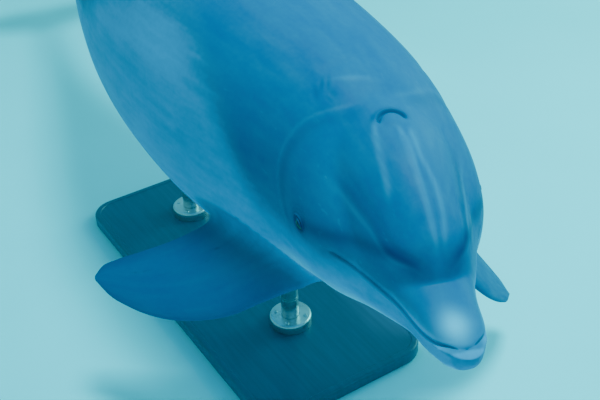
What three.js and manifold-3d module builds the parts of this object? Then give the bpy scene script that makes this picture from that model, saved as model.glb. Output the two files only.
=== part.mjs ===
// A life-size bottlenose dolphin on a plain display stand, its head turned to its own right and both flippers
// spread. Millimetres, +Z up. The origin is the centre of the base's underside. The animal faces -Y, and its
// left side is towards +X. Its surface is a smooth profile swept along a bent spine. The stations below are
// measured along that spine from the tip of the upper jaw.
import * as THREE from 'three';
import { mergeVertices } from 'three/addons/utils/BufferGeometryUtils.js';
import Module from 'manifold-3d';

const { degToRad, smoothstep, lerp, clamp } = THREE.MathUtils;
const wasm = await Module();
wasm.setup();

// ---- Driving dimensions -------------------------------------------------------------------------------

const bodyLength = 2500; // tip of the upper jaw to the notch between the flukes
const spineHeight = 560; // spine above the floor at the balance point
const balanceAt = 960; // station that stands over the origin
const seam = 0.6; // width of the cuts that part the body
const skinGap = 0.4; // clearance where a fin or an eye meets the body

// How the spine bends, in degrees. Each bend runs from one station to another. A positive yaw carries what
// lies behind the bend towards the animal's left, and a positive pitch lifts it.
const bends = [
  { from: 280, to: 620, yaw: -19.8, pitch: -0.5 }, // neck
  { from: 600, to: 1500, yaw: 5.7, pitch: 0.3 }, // trunk
  { from: 1400, to: 2300, yaw: 6, pitch: -9 }, // tail stock
];
const levelAt = 760; // station where the spine runs straight back along +Y

// Body profile: half width, height above the spine and depth below it.
const profile = [
  { at: 0, wide: 28, top: 20, deep: 27 }, // tip of the upper jaw
  { at: 40, wide: 40, top: 29, deep: 36 },
  { at: 110, wide: 54, top: 42, deep: 54 }, // crease in front of the melon
  { at: 160, wide: 73, top: 54, deep: 74 },
  { at: 220, wide: 101, top: 84, deep: 100 },
  { at: 285, wide: 137, top: 122, deep: 127 },
  { at: 330, wide: 149, top: 150, deep: 142 }, // eyes
  { at: 420, wide: 162, top: 194, deep: 173 },
  { at: 550, wide: 190, top: 227, deep: 202 }, // flippers
  { at: 750, wide: 218, top: 256, deep: 223 },
  { at: 950, wide: 223, top: 262, deep: 221 }, // widest place
  { at: 1150, wide: 204, top: 243, deep: 202 },
  { at: 1350, wide: 168, top: 204, deep: 173 },
  { at: 1550, wide: 124, top: 159, deep: 136 },
  { at: 1750, wide: 83, top: 120, deep: 98 },
  { at: 1950, wide: 50, top: 88, deep: 67 },
  { at: 2150, wide: 30, top: 62, deep: 42 },
  { at: 2300, wide: 22, top: 43, deep: 29 },
  { at: 2430, wide: 17, top: 24, deep: 18 },
  { at: bodyLength, wide: 10, top: 9, deep: 8 },
];
// The melon, the domed forehead, swells out of the profile above the upper jaw.
const melon = [
  { at: 100, wide: 20, top: 20 },
  { at: 112, wide: 38, top: 52 },
  { at: 130, wide: 56, top: 86 },
  { at: 160, wide: 73, top: 114 },
  { at: 200, wide: 88, top: 139 },
  { at: 250, wide: 103, top: 162 },
  { at: 300, wide: 117, top: 175 },
  { at: 340, wide: 127, top: 181 },
  { at: 420, wide: 135, top: 184 },
];
const melonBlend = 6;
const melonEnd = 600; // the profile has outgrown it by here
// How square the cross-sections are, as the power of a superellipse, and what some stretches add to it.
const squareness = { body: 2.25, snout: 0.25, chest: 0.35, tail: -0.45, melon: 2 };
// Height of the mouth line along the jaws, up to the corner of the mouth.
const mouth = [
  { at: -30, height: 17 },
  { at: 0, height: 15 },
  { at: 30, height: 10 },
  { at: 60, height: 5 },
  { at: 130, height: 0 },
  { at: 190, height: 1 },
  { at: 235, height: 4 },
  { at: 266, height: 5 },
];
const mouthStations = [-30, 0, 30, 60, 95, 130, 160, 190, 215, 235, 266];
const chin = { reach: 17, roundOver: 36, lip: 5 }; // the lower jaw reaches past the tip of the upper one
const crease = { topAt: 106, topHeight: 44, sideAt: 158, sideHeight: 0 }; // between rostrum and melon
const snout = { roundOver: 34 };

const eye = { at: 334, height: 18, radius: 16, depth: 13.5, openLong: 13, openHigh: 7 };
const blowhole = { at: 340, halfWide: 20, halfLong: 14, depth: 24 };

// Fins. Each row of an outline gives the leading and trailing edges across the chord and half the
// thickness, at a share of the span. The first rows lie inside the body or broaden into it.
const flipper = {
  span: 385,
  inset: 16,
  outline: [
    { at: -0.45, lead: 0, trail: -30, thick: 30 },
    { at: -0.3, lead: 62, trail: -62, thick: 31 },
    { at: -0.15, lead: 96, trail: -84, thick: 28 },
    { at: 0, lead: 93, trail: -88, thick: 21.5 },
    { at: 0.15, lead: 90, trail: -92, thick: 16.5 },
    { at: 0.3, lead: 88, trail: -92, thick: 14.5 },
    { at: 0.5, lead: 68, trail: -94, thick: 11.5 },
    { at: 0.7, lead: 30, trail: -104, thick: 8.5 },
    { at: 0.85, lead: -16, trail: -113, thick: 6 },
    { at: 0.95, lead: -58, trail: -114, thick: 4.2 },
    { at: 1, lead: -92, trail: -104, thick: 2.8 },
  ],
  right: { side: -1, at: 530, height: -132, sweep: 34, droop: 31, twist: -38 },
  left: { side: 1, at: 500, height: -122, sweep: -26, droop: 57, twist: 0 },
};
const dorsal = {
  span: 261,
  at: 1270,
  sink: 26,
  outline: [
    { at: 0, lead: 235, trail: -165, thick: 34 },
    { at: 0.1, lead: 190, trail: -150, thick: 22 },
    { at: 0.2, lead: 152, trail: -140, thick: 16.5 },
    { at: 0.35, lead: 100, trail: -128, thick: 14 },
    { at: 0.6, lead: 14, trail: -130, thick: 9.5 },
    { at: 0.8, lead: -60, trail: -148, thick: 6 },
    { at: 0.93, lead: -122, trail: -172, thick: 3.6 },
    { at: 1, lead: -168, trail: -186, thick: 2.4 },
  ],
};
const fluke = {
  span: 312,
  at: 2400,
  droop: 4,
  outline: [
    { at: -0.1, lead: 96, trail: -84, thick: 14 },
    { at: 0, lead: 104, trail: -92, thick: 14 },
    { at: 0.06, lead: 88, trail: -104, thick: 13 },
    { at: 0.12, lead: 74, trail: -112, thick: 12 },
    { at: 0.3, lead: 46, trail: -116, thick: 10.5 },
    { at: 0.5, lead: 8, trail: -112, thick: 8 },
    { at: 0.7, lead: -38, trail: -110, thick: 6 },
    { at: 0.86, lead: -82, trail: -120, thick: 4.2 },
    { at: 0.96, lead: -118, trail: -136, thick: 3 },
    { at: 1, lead: -140, trail: -146, thick: 2.2 },
  ],
};
const finSteps = [0, 0.1, 0.2, 0.34, 0.5, 0.62, 0.74, 0.84, 0.92, 0.97, 1];
const foilPoints = 16;

const base = { long: 900, wide: 400, thick: 30, bevel: 5, corner: 60 };
const rods = {
  radius: 19, collarRadius: 46, collarHeight: 22, collarBevel: 6, sides: 20, front: 740, rear: 1240,
};

// Body nodes from front to back, each from one station to the next.
const segments = [
  { name: 'neck', from: 390, to: 520, rings: 4 },
  { name: 'chest', from: 520, to: 860, rings: 8 },
  { name: 'trunk', from: 860, to: 1340, rings: 9 },
  { name: 'tail_stock_front', from: 1340, to: 1850, rings: 8 },
  { name: 'tail_stock_rear', from: 1850, to: bodyLength - 22, rings: 10 },
];
const headRuns = [
  { from: 0.4 - chin.reach, to: 4, rings: 3 },
  { from: 4, to: 96, rings: 6 },
  { from: 96, to: 136, rings: 5 },
  { from: 136, to: segments[0].from - seam, rings: 10 },
];
const ringPoints = 32;

// ---- Materials ----------------------------------------------------------------------------------------

const paint = (colour, roughness, metalness = 0) =>
  new THREE.MeshStandardMaterial({ color: colour, roughness, metalness });
const skin = paint('#4f7f9d', 0.42);
const paleSkin = paint('#8fb2c4', 0.42);
const eyeGloss = paint('#15181c', 0.08);
const standWood = paint('#2c3136', 0.5);
const standSteel = paint('#b9bec2', 0.3, 1);

// ---- Smooth curves through the tables -----------------------------------------------------------------

// One column of a table, read at a station by a cubic through its neighbours.
function read(table, key, at) {
  const last = table.length - 1;
  const place = clamp(at, table[0].at, table[last].at);
  let i = 0;
  while (i < last - 1 && place > table[i + 1].at) i++;
  const slope = (k) => (table[k + 1][key] - table[k][key]) / (table[k + 1].at - table[k].at);
  const tangent = (k) => {
    if (k === 0) return slope(0);
    if (k === last) return slope(last - 1);
    const before = table[k].at - table[k - 1].at;
    const after = table[k + 1].at - table[k].at;
    return (slope(k - 1) * after + slope(k) * before) / (before + after);
  };
  const gap = table[i + 1].at - table[i].at;
  const t = (place - table[i].at) / gap;
  return (2 * t ** 3 - 3 * t ** 2 + 1) * table[i][key] + (t ** 3 - 2 * t ** 2 + t) * gap * tangent(i)
    + (3 * t ** 2 - 2 * t ** 3) * table[i + 1][key] + (t ** 3 - t ** 2) * gap * tangent(i + 1);
}

// Half of a round end: 0 at the tip, 1 once it is full.
const roundEnd = (share) => Math.sqrt(1 - (1 - clamp(share, 0, 1)) ** 2);

// ---- Spine --------------------------------------------------------------------------------------------

const angleAt = (at, axis) =>
  degToRad(bends.reduce((sum, b) => sum + b[axis] * smoothstep(at, b.from, b.to), 0));

// Directions at a station: back along the spine, to the animal's left, and up.
function frameAt(at) {
  const yaw = angleAt(at, 'yaw') - angleAt(levelAt, 'yaw');
  const pitch = angleAt(at, 'pitch');
  const back = new THREE.Vector3(
    Math.sin(yaw) * Math.cos(pitch), Math.cos(yaw) * Math.cos(pitch), Math.sin(pitch));
  const left = new THREE.Vector3(Math.cos(yaw), -Math.sin(yaw), 0);
  return { back, left, up: left.clone().cross(back) };
}

// The spine's places at even steps, with the balance point over the origin.
const spineStep = 5;
const spineStart = -40;
const spinePoints = (() => {
  const count = Math.ceil((bodyLength - 2 * spineStart) / spineStep);
  const points = [new THREE.Vector3()];
  for (let i = 0; i < count; i++) {
    const middle = spineStart + (i + 0.5) * spineStep;
    points.push(points[i].clone().addScaledVector(frameAt(middle).back, spineStep));
  }
  const shift = new THREE.Vector3(0, 0, spineHeight).sub(points[(balanceAt - spineStart) / spineStep]);
  return points.map((p) => p.add(shift));
})();

function spineAt(at) {
  const step = clamp((at - spineStart) / spineStep, 0, spinePoints.length - 1.001);
  const i = Math.floor(step);
  return spinePoints[i].clone().lerp(spinePoints[i + 1], step - i);
}

// A place given by its station and its distances left of the spine and above it.
function place(at, left, up) {
  const frame = frameAt(at);
  return spineAt(at).addScaledVector(frame.left, left).addScaledVector(frame.up, up);
}

// ---- Body surface -------------------------------------------------------------------------------------

// Distance from a centre to a superellipse with this half width and height, at an angle above the side.
function ovalRadius(angle, wide, high, power) {
  const across = Math.abs(Math.cos(angle)) / wide;
  const along = Math.abs(Math.sin(angle)) / high;
  return (across ** power + along ** power) ** (-1 / power);
}

// The centre of each cross-section: on the spine, but just under the mouth line in the snout.
const centreAt = (at) => (read(mouth, 'height', at) - chin.lip) * (1 - smoothstep(at, 20, 110));

// Distance from the section's centre to the skin, at an angle that is 0 at the animal's left and a quarter
// turn at the top.
function skinRadius(at, angle) {
  const [wide, top, deep] = ['wide', 'top', 'deep'].map((key) => read(profile, key, at));
  const centre = centreAt(at);
  const square = squareness.body + squareness.snout * (1 - smoothstep(at, 110, 240))
    + squareness.tail * smoothstep(at, 1300, 2100);
  const underRound = roundEnd((at + chin.reach) / chin.roundOver);
  if (Math.sin(angle) < 0) {
    const chest = squareness.chest * smoothstep(at, 250, 450) * (1 - smoothstep(at, 700, 1000));
    return ovalRadius(angle, wide * underRound, (deep + centre) * underRound, square + chest);
  }
  const lip = ovalRadius(angle, wide * underRound, chin.lip * underRound, square);
  const round = Math.max(roundEnd(at / snout.roundOver), skinGap / wide);
  const upper = Math.max(lip, ovalRadius(angle, wide * round, (top - centre) * round, square));
  if (at < melon[0].at || at > melonEnd) return upper;
  const dome = ovalRadius(angle, read(melon, 'wide', at), read(melon, 'top', at), squareness.melon);
  const share = clamp(0.5 + (dome - upper) / (2 * melonBlend), 0, 1);
  return lerp(upper, dome, share) + melonBlend * share * (1 - share);
}

function skinPoint(at, angle, grow = 0) {
  const radius = skinRadius(at, angle) + grow;
  return place(at, radius * Math.cos(angle), centreAt(at) + radius * Math.sin(angle));
}

// Angle on a cross-section at which the animal's left side has this height.
function angleAtHeight(at, height) {
  let low = -Math.PI / 2;
  let high = Math.PI / 2;
  for (let i = 0; i < 30; i++) {
    const middle = (low + high) / 2;
    const reached = centreAt(at) + skinRadius(at, middle) * Math.sin(middle);
    if (reached < height) low = middle;
    else high = middle;
  }
  return (low + high) / 2;
}

// ---- Solids -------------------------------------------------------------------------------------------

function solidOf(geometry) {
  return new wasm.Manifold(new wasm.Mesh({
    numProp: 3,
    vertProperties: new Float32Array(geometry.getAttribute('position').array),
    triVerts: new Uint32Array(geometry.index.array),
  }));
}

function geometryOf(solid) {
  const { numProp, numVert, vertProperties, triVerts } = solid.getMesh();
  const position = new Float32Array(numVert * 3);
  for (let i = 0; i < numVert; i++) {
    position.set(vertProperties.subarray(i * numProp, i * numProp + 3), i * 3);
  }
  const geometry = new THREE.BufferGeometry();
  geometry.setAttribute('position', new THREE.BufferAttribute(position, 3));
  geometry.setIndex(new THREE.BufferAttribute(new Uint32Array(triVerts), 1));
  const flat = geometry.toNonIndexed();
  flat.computeVertexNormals();
  return flat;
}

// A closed solid through loops of equal length, each end closed by a fan round its middle.
function loft(loops) {
  const size = loops[0].length;
  const middle = (loop) =>
    loop.reduce((sum, p) => sum.add(p), new THREE.Vector3()).divideScalar(loop.length);
  const points = [...loops.flat(), middle(loops[0]), middle(loops[loops.length - 1])];
  const first = loops.length * size;
  const index = [];
  for (let i = 0; i < size; i++) {
    const next = (i + 1) % size;
    for (let k = 0; k < loops.length - 1; k++) {
      const [a, b, c, d] = [k * size + i, (k + 1) * size + i, (k + 1) * size + next, k * size + next];
      index.push(a, b, c, a, c, d);
    }
    const end = (loops.length - 1) * size;
    index.push(first, i, next, first + 1, end + next, end + i);
  }
  const geometry = new THREE.BufferGeometry();
  geometry.setAttribute('position', new THREE.Float32BufferAttribute(points.flatMap((p) => p.toArray()), 3));
  geometry.setIndex(index);
  const solid = solidOf(geometry);
  if (solid.volume() > 0) return solid;
  geometry.setIndex(index.map((_, i) => index[i - (i % 3) + [0, 2, 1][i % 3]]));
  return solidOf(geometry);
}

// A three.js geometry at a place, turned to three directions, as a solid with its shared corners merged.
function placed(geometry, origin, x, y, z) {
  const moved = geometry.clone().applyMatrix4(new THREE.Matrix4().makeBasis(x, y, z).setPosition(origin));
  moved.deleteAttribute('normal');
  moved.deleteAttribute('uv');
  const merged = mergeVertices(moved, 1e-3);
  const corners = [...merged.index.array];
  const whole = [];
  for (let i = 0; i < corners.length; i += 3) {
    const triangle = corners.slice(i, i + 3);
    if (new Set(triangle).size === 3) whole.push(...triangle);
  }
  merged.setIndex(whole);
  return solidOf(merged);
}

function ring(at, grow = 0) {
  return Array.from({ length: ringPoints }, (_, i) => skinPoint(at, (2 * Math.PI * i) / ringPoints, grow));
}

function bodyPiece(from, to, rings, grow = 0) {
  return loft(Array.from({ length: rings + 1 }, (_, i) => ring(lerp(from, to, i / rings), grow)));
}

// The whole head as far as the first seam, with its rings closest at the tips and at the crease.
function headBlank(grow = 0) {
  const stations = headRuns.flatMap(({ from, to, rings }) =>
    Array.from({ length: rings }, (_, i) => lerp(from, to, i / rings)));
  return loft([...stations, headRuns[headRuns.length - 1].to].map((at) => ring(at, grow)));
}

// A thin cut along a line of stations and heights in the head, right through from side to side.
function sideCut(line) {
  const reach = 400;
  const outline = [...line.map(([at, height]) => [at, height + seam / 2]),
    ...line.slice().reverse().map(([at, height]) => [at, height - seam / 2])];
  return loft([-reach, reach].map((side) => outline.map(([at, height]) => place(at, side, height))));
}

// ---- Fins ---------------------------------------------------------------------------------------------

const finEdge = 0.4; // half the thickness of the trailing edge

// One foil section round the chord: a blunt leading edge and a thin trailing edge.
function foil({ lead, trail, thick }) {
  return Array.from({ length: foilPoints }, (_, i) => {
    const turn = (2 * Math.PI * i) / foilPoints;
    const share = (1 - Math.cos(turn)) / 2;
    const bulge = 2.6 * Math.sqrt(share) * (1 - share) + 0.12 * share;
    return [lerp(lead, trail, share), Math.sign(Math.sin(turn)) * (thick * bulge + finEdge * share)];
  });
}

// A fin set on its root, with directions along its span, forward across its chord and up through it.
function fin(shape, root, span, chord, rise) {
  const first = shape.outline.map((row) => row.at).filter((at) => at < 0);
  return loft([...first, ...finSteps].map((share) => {
    const [lead, trail, thick] = ['lead', 'trail', 'thick'].map((key) => read(shape.outline, key, share));
    return foil({ lead, trail, thick }).map(([c, t]) => root.clone()
      .addScaledVector(span, share * shape.span).addScaledVector(chord, c).addScaledVector(rise, t));
  }));
}

// A flipper is swept back, drooped below the level and twisted about its span, all in degrees.
function flipperSolid({ side, at, height, sweep, droop, twist }) {
  const { back, left, up } = frameAt(at);
  const out = left.clone().multiplyScalar(side);
  const [s, d, t] = [sweep, droop, twist].map(degToRad);
  const mix = (b, o, u) =>
    back.clone().multiplyScalar(b).addScaledVector(out, o).addScaledVector(up, u);
  const span = mix(Math.sin(s) * Math.cos(d), Math.cos(s) * Math.cos(d), -Math.sin(d));
  const level = mix(-Math.cos(s), Math.sin(s), 0);
  const square = mix(Math.sin(s) * Math.sin(d), Math.cos(s) * Math.sin(d), Math.cos(d));
  const chord = level.clone().multiplyScalar(Math.cos(t)).addScaledVector(square, Math.sin(t));
  const rise = square.clone().multiplyScalar(Math.cos(t)).addScaledVector(level, -Math.sin(t));
  const angle = angleAtHeight(at, height);
  const reach = skinRadius(at, angle) * Math.cos(angle) - flipper.inset;
  return fin(flipper, place(at, side * reach, height), span, chord, rise);
}

function dorsalSolid() {
  const { back, left, up } = frameAt(dorsal.at);
  const root = place(dorsal.at, 0, skinRadius(dorsal.at, Math.PI / 2) - dorsal.sink);
  const backLine = [-dorsal.span, dorsal.span].map((reach) => read(profile, 'top', dorsal.at + reach));
  const slope = Math.atan2(backLine[1] - backLine[0], 2 * dorsal.span);
  const forward = back.clone().multiplyScalar(-Math.cos(slope)).addScaledVector(up, -Math.sin(slope));
  return fin(dorsal, root, up, forward, left);
}

function flukeSolid(side) {
  const { back, left, up } = frameAt(fluke.at);
  const droop = degToRad(fluke.droop);
  const out = left.clone().multiplyScalar(side);
  const span = out.clone().multiplyScalar(Math.cos(droop)).addScaledVector(up, -Math.sin(droop));
  const rise = up.clone().multiplyScalar(Math.cos(droop)).addScaledVector(out, Math.sin(droop));
  return fin(fluke, place(fluke.at, 0, 0), span, back.clone().negate(), rise);
}

// ---- Eyes and blowhole ----------------------------------------------------------------------------------

// Each eye is a ball just under the skin. Its socket is the ball with room round it, and an oval opening.
function eyeSolids(side) {
  const { back, left, up } = frameAt(eye.at);
  const outward = left.clone().multiplyScalar(side);
  const angle = angleAtHeight(eye.at, eye.height);
  const reach = skinRadius(eye.at, angle) * Math.cos(angle) - eye.depth;
  const centre = place(eye.at, side * reach, eye.height);
  const ball = (radius) =>
    placed(new THREE.SphereGeometry(radius, 14, 9), centre, back, back.clone().cross(up).negate(), up);
  const opening = placed(new THREE.CylinderGeometry(1, 1, 2 * eye.radius, 20)
    .scale(eye.openLong, 1, eye.openHigh).translate(0, 1.5 * eye.radius, 0),
  centre, back, outward, back.clone().cross(outward));
  return { ball: ball(eye.radius), socket: ball(eye.radius + skinGap).add(opening) };
}

// An upright oval block round the blowhole, which cuts its flap out of the top of the head.
function blowholeBlock(grow) {
  const { back, left, up } = frameAt(blowhole.at);
  const block = new THREE.CylinderGeometry(1, 1, 2 * blowhole.depth, 20)
    .scale(blowhole.halfWide + grow, 1, blowhole.halfLong + grow);
  return placed(block, skinPoint(blowhole.at, Math.PI / 2), left, up, left.clone().cross(up));
}

// ---- Stand ----------------------------------------------------------------------------------------------

const axes = [new THREE.Vector3(1, 0, 0), new THREE.Vector3(0, 1, 0), new THREE.Vector3(0, 0, 1)];

function standBase() {
  const { long, wide, thick, bevel, corner: radius } = base;
  const [x, y] = [wide / 2 - bevel, long / 2 - bevel];
  const quarter = Math.PI / 2;
  const shape = new THREE.Shape();
  shape.moveTo(radius - x, -y);
  shape.absarc(x - radius, radius - y, radius, -quarter, 0);
  shape.absarc(x - radius, y - radius, radius, 0, quarter);
  shape.absarc(radius - x, y - radius, radius, quarter, 2 * quarter);
  shape.absarc(radius - x, radius - y, radius, 2 * quarter, 3 * quarter);
  const slab = new THREE.ExtrudeGeometry(shape, {
    depth: thick - 2 * bevel, bevelThickness: bevel, bevelSize: bevel, bevelSegments: 1, curveSegments: 5,
  });
  return placed(slab.translate(0, 0, bevel), new THREE.Vector3(), ...axes);
}

// A turned piece about an upright axis, from radii and heights that close on themselves or on the axis.
function turned(points, at) {
  const { x, y } = spineAt(at);
  const lathe = new THREE.LatheGeometry(points.map(([r, z]) => new THREE.Vector2(r, z)), rods.sides);
  return placed(lathe, new THREE.Vector3(x, y, 0), axes[0], axes[2], axes[1].clone().negate());
}

const rodFoot = base.thick + skinGap;

function rod(at) {
  return turned([[0, rodFoot], [rods.radius, rodFoot], [rods.radius, spineHeight], [0, spineHeight]], at);
}

function collar(at) {
  const [bore, outer, top] = [rods.radius + skinGap, rods.collarRadius, rodFoot + rods.collarHeight];
  return turned([[bore, rodFoot], [outer, rodFoot], [outer, top - rods.collarBevel],
    [outer - rods.collarBevel, top], [bore, top], [bore, rodFoot]], at);
}

// ---- Assembly -------------------------------------------------------------------------------------------

const dolphin = new THREE.Group();

function add(name, solid, material) {
  const mesh = new THREE.Mesh(geometryOf(solid), material);
  mesh.name = name;
  dolphin.add(mesh);
}

const bySize = (solid) => solid.decompose().sort((a, b) => b.volume() - a.volume());
const grownBody = [headBlank(skinGap),
  ...segments.map(({ from, to, rings }) => bodyPiece(from - 2, to + 2, rings, skinGap))];
const fitted = (solid) => bySize(grownBody.reduce((rest, piece) => rest.subtract(piece), solid))[0];

for (const { name, from, to, rings } of segments) {
  add(name, bodyPiece(from, to - seam, rings), name === 'chest' ? paleSkin : skin);
}

// The mouth parts the lower jaw and throat from the head, and the crease parts the rostrum from it.
const corner = mouth[mouth.length - 1];
const jawCut = sideCut([...mouthStations.map((at) => [at, read(mouth, 'height', at)]),
  [corner.at + 40, -220]]);
const creaseSlope = (crease.sideHeight - crease.topHeight) / (crease.sideAt - crease.topAt);
const creaseCut = sideCut([crease.topAt - 60, crease.sideAt + 8]
  .map((at) => [at, crease.topHeight + creaseSlope * (at - crease.topAt)]));
const [upperHead, lowerJaw] = bySize(headBlank().subtract(jawCut));
const [skull, rostrum] = bySize(upperHead.subtract(creaseCut));
const [eyeLeft, eyeRight] = [eyeSolids(1), eyeSolids(-1)];
const head = skull.subtract(eyeLeft.socket).subtract(eyeRight.socket).subtract(blowholeBlock(skinGap));
add('lower_jaw', lowerJaw, paleSkin);
add('rostrum', rostrum, skin);
add('head', bySize(head)[0], skin);
add('blowhole_flap', skull.intersect(blowholeBlock(0)), skin);
add('eye_left', eyeLeft.ball, eyeGloss);
add('eye_right', eyeRight.ball, eyeGloss);

add('flipper_left', fitted(flipperSolid(flipper.left)), skin);
add('flipper_right', fitted(flipperSolid(flipper.right)), skin);
add('dorsal_fin', fitted(dorsalSolid()), skin);

// The flukes are parted along the middle.
for (const [name, side] of [['fluke_left', 1], ['fluke_right', -1]]) {
  const { back, left } = frameAt(fluke.at);
  const reach = 2 * fluke.span;
  const half = placed(new THREE.BoxGeometry(reach, reach, reach),
    place(fluke.at, (side * (reach + seam)) / 2, 0), left, back, left.clone().cross(back));
  add(name, fitted(flukeSolid(side).intersect(half)), skin);
}

add('stand_base', standBase(), standWood);
for (const [end, at] of [['front', rods.front], ['rear', rods.rear]]) {
  add(`stand_rod_${end}`, fitted(rod(at)), standSteel);
  add(`stand_collar_${end}`, collar(at), standSteel);
}

export default dolphin;
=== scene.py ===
import math

import bmesh
import bpy
import numpy as np
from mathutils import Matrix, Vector


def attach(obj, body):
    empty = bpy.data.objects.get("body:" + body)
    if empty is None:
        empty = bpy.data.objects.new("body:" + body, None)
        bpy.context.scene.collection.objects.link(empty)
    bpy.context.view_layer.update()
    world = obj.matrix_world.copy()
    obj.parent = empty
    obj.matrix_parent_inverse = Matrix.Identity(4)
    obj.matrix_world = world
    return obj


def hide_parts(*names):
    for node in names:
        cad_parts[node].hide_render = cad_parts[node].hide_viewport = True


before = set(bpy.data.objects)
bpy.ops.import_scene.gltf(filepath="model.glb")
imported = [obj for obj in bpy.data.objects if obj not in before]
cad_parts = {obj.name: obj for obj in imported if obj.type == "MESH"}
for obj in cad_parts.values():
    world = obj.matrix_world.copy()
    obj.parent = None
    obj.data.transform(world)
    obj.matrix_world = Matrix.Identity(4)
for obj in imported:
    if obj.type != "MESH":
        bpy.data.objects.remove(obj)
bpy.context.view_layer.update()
bpy.ops.object.select_all(action="DESELECT")

# A life-size bottlenose dolphin on a display stand. The animal faces -Y and its left side is towards +X.
# Its shape is worked out in millimetres along its own bent spine, and placed in metres.

mm = 0.001
smoothAngle = {"skin": 50, "stand": 35}  # edges that turn less than this are shaded smooth

camera = {
    "at": (-0.8163, -1.6460, 1.4905),
    "turn": (55.155, 2.482, -32.618),  # degrees about X, Y and Z
    "lens": 59.86,
    "clip": 50,
}


def addCamera():
    turn = [math.radians(angle) for angle in camera["turn"]]
    bpy.ops.object.camera_add(location=camera["at"], rotation=turn)
    view = bpy.context.object
    view.data.lens = camera["lens"]
    view.data.clip_end = camera["clip"]
    bpy.context.scene.camera = view


def smooth(low, high, value):
    share = np.clip((value - low) / (high - low), 0, 1)
    return share * share * (3 - 2 * share)


def window(value, rises, risen, falls, fallen):
    # 1 between two gentle slopes and 0 outside them
    return smooth(rises, risen, value) * (1 - smooth(falls, fallen, value))


def bell(value, width):
    return np.exp(-((value / width) ** 2))


def mix(first, second, share):
    return first + (second - first) * share


def read(table, at, column=1):
    # a smooth curve through one column of a table whose rows start with their place
    place, value = (np.array([row[i] for row in table], float) for i in (0, column))
    gap = np.diff(place)
    slope = np.diff(value) / gap
    inner = (slope[:-1] * gap[1:] + slope[1:] * gap[:-1]) / (gap[:-1] + gap[1:])
    tangent = np.concatenate((slope[:1], inner, slope[-1:]))
    at = np.clip(at, place[0], place[-1])
    i = np.clip(np.searchsorted(place, at, side="right") - 1, 0, len(gap) - 1)
    h = gap[i]
    t = (at - place[i]) / h
    ends = (2 * t**3 - 3 * t**2 + 1) * value[i] + (3 * t**2 - 2 * t**3) * value[i + 1]
    slopes = (t**3 - 2 * t**2 + t) * tangent[i] + (t**3 - t**2) * tangent[i + 1]
    return ends + slopes * h


def roundEnd(share):
    return np.sqrt(1 - (1 - np.clip(share, 0, 1)) ** 2)


body = {  # stations and sizes in millimetres
    "length": 2500,
    "spineHeight": 560,  # above the floor where the animal balances
    "balanceAt": 960,
    "levelAt": 760,
    # each bend: from, to, degrees towards the animal's left, degrees upwards
    "bends": [(280, 620, -19.8, -0.5), (600, 1500, 5.7, 0.3), (1400, 2300, 6, -9)],
    # each section: station from the tip of the upper jaw, half width, height, depth
    "profile": [
        (0, 28, 20, 27), (40, 40, 29, 36), (110, 54, 42, 54), (160, 73, 54, 74), (220, 101, 84, 100),
        (285, 137, 122, 127), (330, 149, 150, 142), (420, 162, 194, 173), (550, 190, 227, 202),
        (750, 218, 256, 223), (950, 223, 262, 221), (1150, 204, 243, 202), (1350, 168, 204, 173),
        (1550, 124, 159, 136), (1750, 83, 120, 98), (1950, 50, 88, 67), (2150, 30, 62, 42),
        (2300, 22, 43, 29), (2430, 17, 24, 18), (2500, 10, 9, 8),
    ],
    "melon": [  # the domed forehead: station, half width, height
        (100, 20, 20), (112, 38, 52), (130, 56, 86), (160, 73, 114), (200, 88, 139), (250, 103, 162),
        (300, 117, 175), (340, 127, 181), (420, 135, 184),
    ],
    "melonEnd": 600,
    "melonBlend": 6,
    # the power of the sections' ovals, 2 for an ellipse, and what the snout, tail and chest add to it
    "square": 2.25,
    "snoutSquare": {"more": 0.25, "until": (110, 240)},
    "tailSquare": {"less": 0.45, "from": (1300, 2100)},
    "chestSquare": {"more": 0.35, "along": (250, 450, 700, 1000)},
    "seam": [(-30, 17), (0, 15), (30, 10), (60, 5), (130, 0), (190, 1), (235, 4), (266, 5)],
    "lip": 5,  # the sections of the snout are centred this far under the seam of the jaws
    "lipEnd": (20, 110),
    "chinReach": 17,
    "chinRound": 36,
    "snoutRound": 34,
}


def turnAt(at, column):
    return np.radians(sum(bend[column] * smooth(bend[0], bend[1], at) for bend in body["bends"]))


def frameAt(at):
    # back along the spine, to the animal's left, and up
    yaw = turnAt(at, 2) - turnAt(body["levelAt"], 2)
    pitch = turnAt(at, 3)
    back = np.stack((np.sin(yaw) * np.cos(pitch), np.cos(yaw) * np.cos(pitch), np.sin(pitch)), -1)
    left = np.stack((np.cos(yaw), -np.sin(yaw), 0 * yaw), -1)
    return back, left, np.cross(left, back)


def laySpine(step=5, first=-60, past=120):
    stations = np.arange(first, body["length"] + past, step, dtype=float)
    back = frameAt(stations + step / 2)[0]
    points = np.concatenate((np.zeros((1, 3)), np.cumsum(back[:-1] * step, 0)))
    balance = (body["balanceAt"] - first) // step
    return stations, points - points[balance] + (0, 0, body["spineHeight"])


spineStations, spinePoints = laySpine()


def spineAt(at):
    return np.stack([np.interp(at, spineStations, spinePoints[:, i]) for i in range(3)], -1)


def place(at, left, up):
    # the point this far left of the spine and above it, in millimetres
    at, left, up = np.broadcast_arrays(at, left, up)
    _, leftward, upward = frameAt(at)
    return spineAt(at) + leftward * left[..., None] + upward * up[..., None]


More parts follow.
